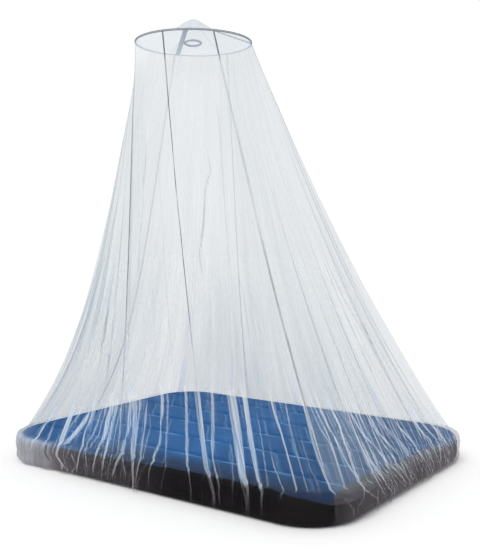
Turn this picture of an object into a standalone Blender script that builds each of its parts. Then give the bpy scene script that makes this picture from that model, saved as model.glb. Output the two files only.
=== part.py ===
"""Mosquito net canopy over an air mattress.

Six gore panels of fine net hang from a bound hoop, spread over the rim of a
low air mattress and fall down its sides to the floor. A shallow cloth cap
closes the hoop above; a webbing strap crosses it and carries a small ring.

Metres, +Z up. The origin is the middle of the mattress footprint on the floor.
+X runs along the mattress, +Y across it. The mattress corners are called left
(-X -Y), front (+X -Y), right (+X +Y) and back (-X +Y), and a run is a distance
along the mattress outline from the left corner, towards the front corner.
"""

import math
from collections import namedtuple

import bmesh
import bpy
from mathutils import Matrix, Vector

# ---- driving dimensions -------------------------------------------------
GAP = 0.0003                 # between pieces that touch

BED_LENGTH = 1.96            # along X
BED_WIDTH = 1.50             # along Y
BED_HEIGHT = 0.14
BED_CORNER = 0.25            # corner radius in plan, at the widest level
BED_TOP_ROUND = 0.045        # rounding of the top rim
BED_FOOT_ROUND = 0.045       # rounding of the bottom rim

HOOP_CENTRE = Vector((-0.179, -0.131, 2.131))
HOOP_RADIUS = 0.294          # to the middle of the bound tube
HOOP_TUBE = 0.005            # radius of the bound tube
HOOP_STEPS = 72

CLOTH = 0.002                # thickness of net and cap
TAPE_CLOTH = 0.0028          # thickness of the seam tape
TAPE_WIDTH = 0.008

CAP_RISE = 0.110             # of the tip, above the hoop
CAP_HOLLOW = 2.0             # power that makes the slope hollow, 1 for a cone
CAP_ROUND = 0.15             # softness of the tip, as a share of the radius
CAP_SAG = 0.002              # of the cloth between two gore seams

STRAP_WIDTH = 0.024
STRAP_THICK = 0.0018
STRAP_NEAR_DEG = 302.0       # hoop angle of its two ends
STRAP_FAR_DEG = 146.0

RING_RADIUS = 0.0405         # to the middle of its section
RING_TUBE = 0.0052
RING_TILT_DEG = -7.0         # about the line from the strap to its middle

NET_CORNER_CLEAR = 0.007     # net to the mattress side round a corner
CORNER_LEAD = 0.06           # it stands off as far past the corner as this
CORNER_EASE = 0.10           # and comes in to the side over this run
NET_SIDE_REST = 0.5 * TAPE_CLOTH + GAP   # net to the side where it lies on it
NET_LIFT = 0.007             # net over the start of the top rounding
HEM_LIFT = 0.0015            # hem over the floor

# A guide is a line of the net from the hoop, at hoop_deg, to the mattress rim,
# at run. u counts panels: a guide at a whole u is a seam. The net falls
# straight for the share `straight` of its spread; the rest is a flare of power
# `flare`, gathered towards the mattress.
Guide = namedtuple("Guide", "u name hoop_deg run straight flare")
GUIDES = (
    Guide(0.0, "left seam", 216, 0.760, 0.74, 5.0),
    Guide(1.0, "front left seam", 279, 1.290, 0.86, 3.6),
    Guide(2.0, "front seam", 328, 1.900, 0.88, 3.2),
    Guide(3.0, "right seam", 387, 3.020, 0.82, 3.6),
    Guide(3.12, "right corner", 396, 3.300, 0.82, 3.4),
    Guide(4.0, "back right seam", 451, 4.600, 0.76, 4.4),
    Guide(5.0, "back left seam", 509, 5.900, 0.66, 5.6),
    Guide(5.5, "left corner", 552, 6.490, 0.66, 5.6),
)
PANELS = 6

# A fold is a ridge of net standing outward. centre and width are shares of its
# panel, depth is at its fullest, and top is the share of the drop above which
# the net is smooth.
Fold = namedtuple("Fold", "centre width depth top")
FOLDS = (
    (   # panel 1: left seam to front left seam
        Fold(0.17, 0.100, 0.040, 0.16), Fold(0.44, 0.090, 0.028, 0.30),
        Fold(0.59, 0.070, 0.022, 0.44), Fold(0.82, 0.090, 0.034, 0.12),
    ),
    (   # panel 2: front left seam to front seam
        Fold(0.09, 0.075, 0.030, 0.22), Fold(0.31, 0.100, 0.042, 0.10),
        Fold(0.47, 0.080, 0.034, 0.34), Fold(0.68, 0.090, 0.024, 0.40),
        Fold(0.87, 0.080, 0.026, 0.28),
    ),
    (   # panel 3: front seam to right seam, close folds
        Fold(0.07, 0.055, 0.022, 0.40), Fold(0.20, 0.065, 0.042, 0.14),
        Fold(0.36, 0.055, 0.028, 0.46), Fold(0.50, 0.060, 0.038, 0.20),
        Fold(0.61, 0.050, 0.030, 0.36), Fold(0.75, 0.055, 0.040, 0.24),
        Fold(0.88, 0.060, 0.034, 0.18),
    ),
    (   # panel 4: right seam to back right seam
        Fold(0.11, 0.075, 0.036, 0.20), Fold(0.29, 0.085, 0.030, 0.34),
        Fold(0.47, 0.070, 0.042, 0.14), Fold(0.66, 0.085, 0.032, 0.28),
        Fold(0.87, 0.075, 0.038, 0.38),
    ),
    (   # panel 5: back right seam to back left seam
        Fold(0.12, 0.080, 0.034, 0.26), Fold(0.33, 0.075, 0.042, 0.16),
        Fold(0.52, 0.085, 0.030, 0.40), Fold(0.70, 0.070, 0.038, 0.22),
        Fold(0.89, 0.070, 0.032, 0.32),
    ),
    (   # panel 6: back left seam, round the left corner, to the left seam
        Fold(0.09, 0.060, 0.034, 0.24), Fold(0.23, 0.060, 0.028, 0.44),
        Fold(0.36, 0.055, 0.034, 0.20), Fold(0.49, 0.055, 0.022, 0.52),
        Fold(0.61, 0.050, 0.030, 0.30), Fold(0.70, 0.045, 0.040, 0.16),
        Fold(0.79, 0.045, 0.046, 0.36), Fold(0.87, 0.040, 0.034, 0.48),
        Fold(0.945, 0.040, 0.038, 0.14),
    ),
)
COLUMNS_PER_FOLD = 4
COLUMNS_SPARE = 3

FOLDS_FULL = 0.75            # share of the drop where every fold is at its fullest

# Levels of the net between the hoop, 0, and the mattress rim, 1, with the
# share of their depth that the folds have there.
Level = namedtuple("Level", "drop gain")
DROP_LEVELS = (
    Level(0.00, 0.0), Level(0.07, 0.5), Level(0.17, 0.7), Level(0.30, 0.85),
    Level(0.44, 1.0), Level(0.58, 1.0), Level(0.71, 1.0), Level(0.82, 0.95),
    Level(0.91, 0.8), Level(0.965, 0.6), Level(1.00, 0.42),
)
# Levels below the rim: height over the floor, distance outside the outline.
SideLevel = namedtuple("SideLevel", "height outside gain")
SIDE_LEVELS = (
    SideLevel(BED_HEIGHT - 0.0075, -0.0040, 0.30),
    SideLevel(BED_HEIGHT - BED_TOP_ROUND, 0.0050, 0.24),
    SideLevel(0.058, 0.0, 0.28),
    SideLevel(0.022, 0.0, 0.28),
    SideLevel(HEM_LIFT, -0.0140, 0.24),
)

# A lump is a bunch of hem that pushes out on the floor, centred on a run.
Lump = namedtuple("Lump", "run width depth")
HEM_LUMPS = (
    Lump(0.94, 0.12, 0.034), Lump(2.20, 0.13, 0.012), Lump(2.66, 0.12, 0.016),
    Lump(3.62, 0.14, 0.014), Lump(5.05, 0.16, 0.018),
)

CLOTH_COLOUR = (0.78, 0.83, 0.87)
CAP_COLOUR = (0.74, 0.82, 0.90)
TAPE_COLOUR = (0.20, 0.22, 0.25)
WEBBING_COLOUR = (0.34, 0.36, 0.40)
FLOCK_COLOUR = (0.03, 0.09, 0.30)


# ---- helpers ------------------------------------------------------------
def clear_scene():
    for item in list(bpy.data.objects):
        bpy.data.objects.remove(item, do_unlink=True)


def material(name, colour, roughness, metallic=0.0):
    made = bpy.data.materials.new(name)
    made.use_nodes = True
    shader = made.node_tree.nodes["Principled BSDF"]
    shader.inputs["Base Color"].default_value = (*colour, 1.0)
    shader.inputs["Roughness"].default_value = roughness
    shader.inputs["Metallic"].default_value = metallic
    return made


def add_object(name, points, faces, finish, smooth_deg=35.0):
    mesh = bpy.data.meshes.new(name)
    mesh.from_pydata([tuple(p) for p in points], [], faces)
    work = bmesh.new()
    work.from_mesh(mesh)
    bmesh.ops.recalc_face_normals(work, faces=work.faces)
    work.to_mesh(mesh)
    work.free()
    mesh.shade_smooth()
    mesh.set_sharp_from_angle(angle=math.radians(smooth_deg))
    mesh.materials.append(finish)
    made = bpy.data.objects.new(name, mesh)
    bpy.context.scene.collection.objects.link(made)
    return made


def polar(radius, degrees):
    angle = math.radians(degrees)
    return Vector((radius * math.cos(angle), radius * math.sin(angle), 0.0))


def bump(offset, width):
    """A smooth ridge, 1 at offset 0 and 0 from `width` outward."""
    if abs(offset) >= width:
        return 0.0
    return math.cos(0.5 * math.pi * offset / width) ** 2


def cloth_solid(rows, thick):
    """A closed sheet `thick` deep about rows of (point, normal) pairs."""
    count, across = len(rows), len(rows[0])
    half = 0.5 * thick
    points = [p + n * half for row in rows for p, n in row]
    points += [p - n * half for row in rows for p, n in row]
    under = count * across

    def at(i, j, layer=0):
        return layer + i * across + j

    faces = []
    for i in range(count - 1):
        for j in range(across - 1):
            ring = [at(i, j), at(i, j + 1), at(i + 1, j + 1), at(i + 1, j)]
            spans = [(points[ring[k]] - points[ring[k + 2]]).length for k in (0, 1)]
            if spans[1] < spans[0]:
                ring = ring[1:] + ring[:1]
            # both layers split along one diagonal, or twisted faces would cross
            for face in (ring[:3], [ring[0], ring[2], ring[3]]):
                faces.append(face)
                faces.append([k + under for k in reversed(face)])
    rim = [(0, j) for j in range(across)]
    rim += [(i, across - 1) for i in range(1, count)]
    rim += [(count - 1, j) for j in range(across - 2, -1, -1)]
    rim += [(i, 0) for i in range(count - 2, 0, -1)]
    for here, there in zip(rim, rim[1:] + rim[:1]):
        faces.append([at(*there), at(*here), at(*here, under), at(*there, under)])
    return points, faces


def torus(centre, radius, tube, steps, sides, turn=Matrix.Identity(3)):
    points, faces = [], []
    for i in range(steps):
        out = polar(1.0, 360.0 * i / steps)
        for j in range(sides):
            angle = 2.0 * math.pi * j / sides
            spoke = out * (radius + tube * math.cos(angle))
            spoke.z = tube * math.sin(angle)
            points.append(centre + turn @ spoke)
    for i in range(steps):
        for j in range(sides):
            k, m = (i + 1) % steps, (j + 1) % sides
            faces.append([i * sides + j, k * sides + j, k * sides + m, i * sides + m])
    return points, faces


# ---- mattress -----------------------------------------------------------
STRAIGHT_X = BED_LENGTH - 2.0 * BED_CORNER
STRAIGHT_Y = BED_WIDTH - 2.0 * BED_CORNER
CORNER_RUN = 0.5 * math.pi * BED_CORNER
OUTLINE_RUN = 2.0 * (STRAIGHT_X + STRAIGHT_Y) + 4.0 * CORNER_RUN


SIDE_RUNS = (STRAIGHT_X, STRAIGHT_Y, STRAIGHT_X, STRAIGHT_Y)


def locate(run):
    """Which side of the outline a run is on, and how far from the start of the
    corner before that side. The sides start at the left, front, right and back
    corners."""
    into = (run + 0.5 * CORNER_RUN) % OUTLINE_RUN
    side = 0
    while into > CORNER_RUN + SIDE_RUNS[side]:
        into -= CORNER_RUN + SIDE_RUNS[side]
        side += 1
    return side, into


def outline(run):
    """Point and outward normal of the widest mattress outline at a run."""
    side, into = locate(run)
    corner_x = (-0.5, 0.5, 0.5, -0.5)[side] * STRAIGHT_X
    corner_y = (-0.5, -0.5, 0.5, 0.5)[side] * STRAIGHT_Y
    turned = min(into / CORNER_RUN, 1.0)
    normal = polar(1.0, 180.0 + 90.0 * (side + turned))
    along = polar(1.0, 90.0 * side) * max(into - CORNER_RUN, 0.0)
    return Vector((corner_x, corner_y, 0.0)) + normal * BED_CORNER + along, normal


def mattress_profile():
    """(height, inset) up the side, with rounded foot and rim."""
    rows = []
    for step in range(4):
        angle = 0.5 * math.pi * step / 3
        rows.append((BED_FOOT_ROUND * (1.0 - math.cos(angle)),
                     BED_FOOT_ROUND * (1.0 - math.sin(angle))))
    for step in range(5):
        angle = 0.5 * math.pi * step / 4
        rows.append((BED_HEIGHT - BED_TOP_ROUND * (1.0 - math.sin(angle)),
                     BED_TOP_ROUND * (1.0 - math.cos(angle))))
    return rows


def build_mattress(finish):
    corner_steps = 8
    runs, start = [], -0.5 * CORNER_RUN
    for length in SIDE_RUNS:
        for step in range(corner_steps + 1):
            runs.append(start + CORNER_RUN * step / corner_steps)
        start += CORNER_RUN + length
    rows = mattress_profile()
    count = len(runs)
    points = []
    for height, inset in rows:
        for run in runs:
            point, normal = outline(run)
            points.append(point - normal * inset + Vector((0.0, 0.0, height)))
    faces = []
    for i in range(len(rows) - 1):
        for j in range(count):
            k = (j + 1) % count
            faces.append([i * count + j, i * count + k,
                          (i + 1) * count + k, (i + 1) * count + j])
    faces.append(list(range(count))[::-1])
    faces.append([(len(rows) - 1) * count + j for j in range(count)])
    return add_object("mattress", points, faces, finish)


# ---- net ----------------------------------------------------------------
def guide_mix(u):
    """Hoop angle, run, straight share and flare of the net at u."""
    turns, place = divmod(u, PANELS)
    after = next((k for k, guide in enumerate(GUIDES) if guide.u > place), 0)
    here, there = GUIDES[after - 1], GUIDES[after]
    lap = 0 if after else 1
    share = (place - here.u) / (there.u + PANELS * lap - here.u)
    angle = here.hoop_deg + share * (there.hoop_deg + 360.0 * lap - here.hoop_deg)
    run = here.run + share * (there.run + OUTLINE_RUN * lap - here.run)
    straight = here.straight + share * (there.straight - here.straight)
    flare = here.flare + share * (there.flare - here.flare)
    return angle + 360.0 * turns, run + OUTLINE_RUN * turns, straight, flare


def fold_depth(u, drop):
    """How far the folds stand out at u, at a share of the drop."""
    panel = int(math.floor(u)) % PANELS
    share = u - math.floor(u)
    depth = 0.0
    for fold in FOLDS[panel]:
        grown = min(max((drop - fold.top) / (FOLDS_FULL - fold.top), 0.0), 1.0)
        depth += fold.depth * grown * bump(share - fold.centre, fold.width)
    return depth


def lump_depth(run):
    depth = 0.0
    for lump in HEM_LUMPS:
        away = (run - lump.run + 0.5 * OUTLINE_RUN) % OUTLINE_RUN - 0.5 * OUTLINE_RUN
        depth += lump.depth * bump(away, lump.width)
    return depth


def side_clearance(run):
    """The net lies on the straight sides and stands off the round corners."""
    side, into = locate(run)
    past = max(into - CORNER_RUN, 0.0)
    away = min(past, SIDE_RUNS[side] - past)
    corner = 1.0 - min(max((away - CORNER_LEAD) / CORNER_EASE, 0.0), 1.0)
    return NET_SIDE_REST + corner * (NET_CORNER_CLEAR - NET_SIDE_REST)


LEVELS = len(DROP_LEVELS) + len(SIDE_LEVELS)
HOOP_SEAT = HOOP_TUBE + 2.0 * GAP      # net below and cap above the hoop's middle


def net_point(u, level):
    """Middle of the net at u and a whole or part level."""
    low = min(int(level), LEVELS - 2)
    part = level - low
    return net_at(u, low) * (1.0 - part) + net_at(u, low + 1) * part


def net_at(u, level):
    angle, run, straight, flare = guide_mix(u)
    rim, normal = outline(run)
    top = HOOP_CENTRE + polar(HOOP_RADIUS, angle)
    top.z -= HOOP_SEAT
    if level < len(DROP_LEVELS):
        drop, gain = DROP_LEVELS[level]
        spread = straight * drop + (1.0 - straight) * drop ** flare
        edge = rim - normal * BED_TOP_ROUND
        edge.z = BED_HEIGHT + NET_LIFT
        point = top.lerp(edge, spread)
        point.z = top.z + (edge.z - top.z) * drop
        hoop_out = polar(1.0, angle)
        out = hoop_out.lerp(normal, spread).normalized()
        return point + out * (gain * fold_depth(u, drop))
    row = SIDE_LEVELS[level - len(DROP_LEVELS)]
    outside = side_clearance(run) + row.outside + row.gain * fold_depth(u, 1.0)
    low_share = 1.0 - row.height / BED_HEIGHT
    outside += max(low_share, 0.0) ** 2 * lump_depth(run)
    return rim + normal * outside + Vector((0.0, 0.0, row.height))


def net_normal(u, level):
    """Outward normal of the net, from its neighbours in both directions."""
    du, dv = 0.004, 0.5
    across = net_point(u + du, level) - net_point(u - du, level)
    above, below = max(level - dv, 0.0), min(level + dv, LEVELS - 1.0)
    down = net_point(u, below) - net_point(u, above)
    return down.cross(across).normalized()


def seam_offset(u, level, way):
    """Where the tape's edge and the panel's edge lie, on one side of a seam."""
    du = 0.01
    span = (net_point(u + way * du, level) - net_point(u, level)).length / du
    return u + way * 0.5 * TAPE_WIDTH / span, u + way * (0.5 * TAPE_WIDTH + GAP) / span


def build_panel(index, finish):
    columns = COLUMNS_PER_FOLD * len(FOLDS[index]) + COLUMNS_SPARE
    rows = []
    for level in range(LEVELS):
        _, first = seam_offset(index, level, 1)
        _, last = seam_offset(index + 1, level, -1)
        row = []
        for step in range(columns + 1):
            u = first + (last - first) * step / columns
            row.append((net_point(u, level), net_normal(u, level)))
        rows.append(row)
    points, faces = cloth_solid(rows, CLOTH)
    return add_object("net_panel_%d" % (index + 1), points, faces, finish)


def build_tape(index, finish):
    rows = []
    for level in range(LEVELS):
        edges = [seam_offset(index, level, way)[0] for way in (-1, 1)]
        rows.append([(net_point(u, level), net_normal(u, level)) for u in edges])
    points, faces = cloth_solid(rows, TAPE_CLOTH)
    return add_object("seam_tape_%d" % (index + 1), points, faces, finish)


# ---- hoop, cap, strap and ring ------------------------------------------
def build_hoop(finish):
    points, faces = torus(HOOP_CENTRE, HOOP_RADIUS, HOOP_TUBE, HOOP_STEPS, 8)
    return add_object("hoop", points, faces, finish)


def cap_height(radius, degrees):
    """Height of the cap over its rim: a hollow cone with a soft tip."""
    share = radius / HOOP_RADIUS
    slope = (math.hypot(share, CAP_ROUND) - CAP_ROUND)
    slope /= math.hypot(1.0, CAP_ROUND) - CAP_ROUND
    gore = 0.5 - 0.5 * math.cos(math.radians(PANELS * (degrees - GUIDES[0].hoop_deg)))
    sag = CAP_SAG * gore * 4.0 * share * (1.0 - share)
    return CAP_RISE * (1.0 - slope) ** CAP_HOLLOW - sag


def build_cap(finish):
    radii = (HOOP_RADIUS, 0.240, 0.175, 0.115, 0.070, 0.032)
    steps = HOOP_STEPS // 2
    half = 0.5 * CLOTH
    base = HOOP_CENTRE + Vector((0.0, 0.0, HOOP_SEAT))
    points, faces = [], []
    for layer in (1, -1):
        for ring, radius in enumerate(radii):
            lift = layer * half if ring else (CLOTH if layer > 0 else 0.0)
            reach = radius if ring else radius + layer * half
            for step in range(steps):
                degrees = 360.0 * step / steps
                rise = cap_height(radius, degrees) + lift
                points.append(base + polar(reach, degrees) + Vector((0.0, 0.0, rise)))
        points.append(base + Vector((0.0, 0.0, cap_height(0.0, 0.0) + layer * half)))
    sheet = len(radii) * steps + 1
    for ring in range(len(radii) - 1):
        for step in range(steps):
            after = (step + 1) % steps
            face = [ring * steps + step, ring * steps + after,
                    (ring + 1) * steps + after, (ring + 1) * steps + step]
            faces.append(face)
            faces.append([k + sheet for k in reversed(face)])
    last = (len(radii) - 1) * steps
    for step in range(steps):
        after = (step + 1) % steps
        tip = [last + step, last + after, sheet - 1]
        faces.append(tip)
        faces.append([k + sheet for k in reversed(tip)])
        faces.append([after, step, step + sheet, after + sheet])
    return add_object("cap", points, faces, finish)


def strap_ends():
    """The strap's two ends, on the inside of the hoop."""
    inside = (HOOP_RADIUS - HOOP_TUBE) * math.cos(math.pi / HOOP_STEPS) - GAP
    chord = polar(1.0, STRAP_NEAR_DEG) - polar(1.0, STRAP_FAR_DEG)
    along = chord.normalized()
    beside = Vector((-along.y, along.x, 0.0))
    middle = beside.dot(polar(HOOP_RADIUS, STRAP_NEAR_DEG))
    far_edge = abs(middle) + 0.5 * STRAP_WIDTH
    reach = math.sqrt(inside ** 2 - far_edge ** 2)
    foot = HOOP_CENTRE + beside * middle
    return foot - along * reach, foot + along * reach, beside


def build_strap(finish):
    start, end, beside = strap_ends()
    up = Vector((0.0, 0.0, 1.0))
    steps = 6
    rows = []
    for step in range(steps + 1):
        point = start.lerp(end, step / steps)
        rows.append([(point + beside * (way * 0.5 * STRAP_WIDTH), up)
                     for way in (-1, 1)])
    points, faces = cloth_solid(rows, STRAP_THICK)
    return add_object("cross_strap", points, faces, finish)


def build_ring(finish):
    """The ring is sewn to the strap's edge, on the side of the hoop's middle."""
    start, end, beside = strap_ends()
    foot = start.lerp(end, 0.5)
    inward = beside if beside.dot(HOOP_CENTRE - foot) > 0.0 else -beside
    away = 0.5 * STRAP_WIDTH + GAP + RING_RADIUS + RING_TUBE
    centre = foot + inward * away
    turn = Matrix.Rotation(math.radians(RING_TILT_DEG), 3, inward)
    points, faces = torus(centre, RING_RADIUS, RING_TUBE, 36, 8, turn)
    return add_object("centre_ring", points, faces, finish)


def build():
    clear_scene()
    net = material("net", CLOTH_COLOUR, 0.8)
    cap = material("cap_cloth", CAP_COLOUR, 0.8)
    tape = material("seam_tape", TAPE_COLOUR, 0.85)
    webbing = material("webbing", WEBBING_COLOUR, 0.8)
    flock = material("flocked_vinyl", FLOCK_COLOUR, 0.9)
    build_mattress(flock)
    build_hoop(tape)
    build_cap(cap)
    build_strap(webbing)
    build_ring(webbing)
    for index in range(PANELS):
        build_panel(index, net)
        build_tape(index, tape)


build()
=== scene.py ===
"""Looks of the mosquito net canopy and its air mattress.

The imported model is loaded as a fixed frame. Each of its solids is replaced by a
finer piece in the same place: single sheets of net with their creases, seam
tapes, the bound hoop, the cap, the strap with its ring, and the quilted
mattress. Metres, +Z up, +X along the mattress, origin on the floor.
"""

import math
from collections import namedtuple

import bpy
import numpy as np
from mathutils import Matrix, Vector


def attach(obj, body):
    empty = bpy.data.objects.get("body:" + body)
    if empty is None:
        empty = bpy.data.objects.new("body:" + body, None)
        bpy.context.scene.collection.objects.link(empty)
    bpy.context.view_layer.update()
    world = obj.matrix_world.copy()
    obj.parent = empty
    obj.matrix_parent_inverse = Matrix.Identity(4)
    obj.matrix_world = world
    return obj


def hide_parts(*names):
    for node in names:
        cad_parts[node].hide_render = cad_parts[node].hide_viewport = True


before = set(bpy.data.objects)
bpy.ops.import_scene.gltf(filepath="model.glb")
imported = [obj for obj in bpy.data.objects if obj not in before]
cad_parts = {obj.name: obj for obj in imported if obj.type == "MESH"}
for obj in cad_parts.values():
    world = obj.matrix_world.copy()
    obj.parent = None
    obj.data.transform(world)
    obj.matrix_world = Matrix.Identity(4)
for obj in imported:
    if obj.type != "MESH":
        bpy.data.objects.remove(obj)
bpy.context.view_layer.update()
ROOT = "root"

# ---- dimensions, as in the part's source ---------------------------------
BED_LENGTH, BED_WIDTH, BED_HEIGHT = 1.96, 1.50, 0.14
BED_CORNER, BED_TOP_ROUND, BED_FOOT_ROUND = 0.25, 0.045, 0.045
HOOP_CENTRE = np.array([-0.179, -0.131, 2.131])
HOOP_RADIUS, HOOP_TUBE, HOOP_SEAT = 0.294, 0.005, 0.0056
CAP_RISE, CAP_HOLLOW, CAP_ROUND, CAP_SAG = 0.110, 2.0, 0.15, 0.002
STRAP_WIDTH, STRAP_THICK = 0.024, 0.0018
STRAP_NEAR_DEG, STRAP_FAR_DEG = 302.0, 146.0
RING_RADIUS, RING_TUBE, RING_TILT_DEG = 0.0405, 0.0052, -7.0
TAPE_WIDTH = 0.008
HOOP_WRAP = 0.0049           # radius of the hoop with its binding
PANELS = 6

Guide = namedtuple("Guide", "u hoop_deg run straight flare")
GUIDES = (
    Guide(0.00, 216, 0.760, 0.74, 5.0),      # left seam
    Guide(1.00, 279, 1.290, 0.86, 3.6),      # front left seam
    Guide(2.00, 328, 1.900, 0.88, 3.2),      # front seam
    Guide(3.00, 387, 3.020, 0.82, 3.6),      # right seam
    Guide(3.12, 396, 3.300, 0.82, 3.4),      # right corner
    Guide(4.00, 451, 4.600, 0.76, 4.4),      # back right seam
    Guide(5.00, 509, 5.900, 0.66, 5.6),      # back left seam
    Guide(5.50, 552, 6.490, 0.66, 5.6),      # left corner
)
# Folds of each panel: centre and width as shares of it, depth, and the share of
# the drop above which the net is smooth.
FOLDS = (
    ((0.17, 0.100, 0.040, 0.16), (0.44, 0.090, 0.028, 0.30),
     (0.59, 0.070, 0.022, 0.44), (0.82, 0.090, 0.034, 0.12)),
    ((0.09, 0.075, 0.030, 0.22), (0.31, 0.100, 0.042, 0.10),
     (0.47, 0.080, 0.034, 0.34), (0.68, 0.090, 0.024, 0.40),
     (0.87, 0.080, 0.026, 0.28)),
    ((0.07, 0.055, 0.022, 0.40), (0.20, 0.065, 0.042, 0.14),
     (0.36, 0.055, 0.028, 0.46), (0.50, 0.060, 0.038, 0.20),
     (0.61, 0.050, 0.030, 0.36), (0.75, 0.055, 0.040, 0.24),
     (0.88, 0.060, 0.034, 0.18)),
    ((0.11, 0.075, 0.036, 0.20), (0.29, 0.085, 0.030, 0.34),
     (0.47, 0.070, 0.042, 0.14), (0.66, 0.085, 0.032, 0.28),
     (0.87, 0.075, 0.038, 0.38)),
    ((0.12, 0.080, 0.034, 0.26), (0.33, 0.075, 0.042, 0.16),
     (0.52, 0.085, 0.030, 0.40), (0.70, 0.070, 0.038, 0.22),
     (0.89, 0.070, 0.032, 0.32)),
    ((0.09, 0.060, 0.034, 0.24), (0.23, 0.060, 0.028, 0.44),
     (0.36, 0.055, 0.034, 0.20), (0.49, 0.055, 0.022, 0.52),
     (0.61, 0.050, 0.030, 0.30), (0.70, 0.045, 0.040, 0.16),
     (0.79, 0.045, 0.046, 0.36), (0.87, 0.040, 0.034, 0.48),
     (0.945, 0.040, 0.038, 0.14)),
)
FOLDS_FULL = 0.75
FOLD_GAINS = (      # share of the drop, share of a fold's depth there
    (0.00, 0.0), (0.07, 0.5), (0.17, 0.7), (0.30, 0.85), (0.44, 1.0), (0.71, 1.0),
    (0.82, 0.95), (0.91, 0.8), (0.965, 0.6), (1.00, 0.42),
)
NET_LIFT, HEM_LOWEST = 0.007, 0.0012
NET_SIDE_REST, NET_CORNER_CLEAR = 0.0017, 0.007
CORNER_LEAD, CORNER_EASE = 0.06, 0.10
# The skirt below the rim: height, distance outside the outline, fold gain.
SKIRT = (
    (BED_HEIGHT + NET_LIFT, -BED_TOP_ROUND, 0.42),
    (BED_HEIGHT - 0.0075, -0.0040, 0.30),
    (BED_HEIGHT - BED_TOP_ROUND, 0.0050, 0.24),
    (0.058, 0.0, 0.28),
    (0.022, 0.0, 0.28),
    (0.0015, -0.0140, 0.24),
)
HEM_LUMPS = (       # run, width, depth
    (0.94, 0.12, 0.034), (2.20, 0.13, 0.012), (2.66, 0.12, 0.016),
    (3.62, 0.14, 0.014), (5.05, 0.16, 0.018),
)

# ---- camera, which the near creases are also placed by -------------------
PICTURE_WIDE, PICTURE_HIGH = 480, 551
CAMERA_PLACE = np.array([2.506, -3.4485, 1.163])
CAMERA_HEADING = np.array([-0.585, 0.811])
CAMERA_PITCH = 0.051
FOCAL_PX = 825.4

# ---- looks of the net ----------------------------------------------------
# Opacity of the plain net at places round it: just under the hoop, high up, over
# the mattress, and down its side.
HAZE = (            # u, hoop, high, over the mattress, skirt
    (0.00, 0.12, 0.22, 0.10, 0.10),
    (0.30, 0.10, 0.21, 0.05, 0.05),
    (0.60, 0.09, 0.18, 0.02, 0.02),
    (1.00, 0.08, 0.14, 0.02, 0.01),
    (1.45, 0.08, 0.14, 0.02, 0.01),
    (1.992, 0.10, 0.20, 0.03, 0.02),
    (2.008, 0.11, 0.21, 0.24, 0.08),
    (2.16, 0.12, 0.21, 0.24, 0.18),
    (2.40, 0.14, 0.19, 0.21, 0.24),
    (2.70, 0.18, 0.18, 0.17, 0.28),
    (3.12, 0.24, 0.22, 0.18, 0.40),
    (3.26, 0.28, 0.24, 0.36, 0.41),
    (3.50, 0.30, 0.26, 0.34, 0.40),
    (4.00, 0.30, 0.27, 0.53, 0.40),
    (4.50, 0.30, 0.23, 0.36, 0.40),
    (5.00, 0.30, 0.25, 0.46, 0.40),
    (5.36, 0.22, 0.28, 0.56, 0.72),
    (5.62, 0.16, 0.26, 0.03, 0.74),
    (5.72, 0.15, 0.25, 0.02, 0.54),
    (5.78, 0.14, 0.25, 0.02, 0.26),
    (5.85, 0.14, 0.24, 0.05, 0.16),
)

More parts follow.
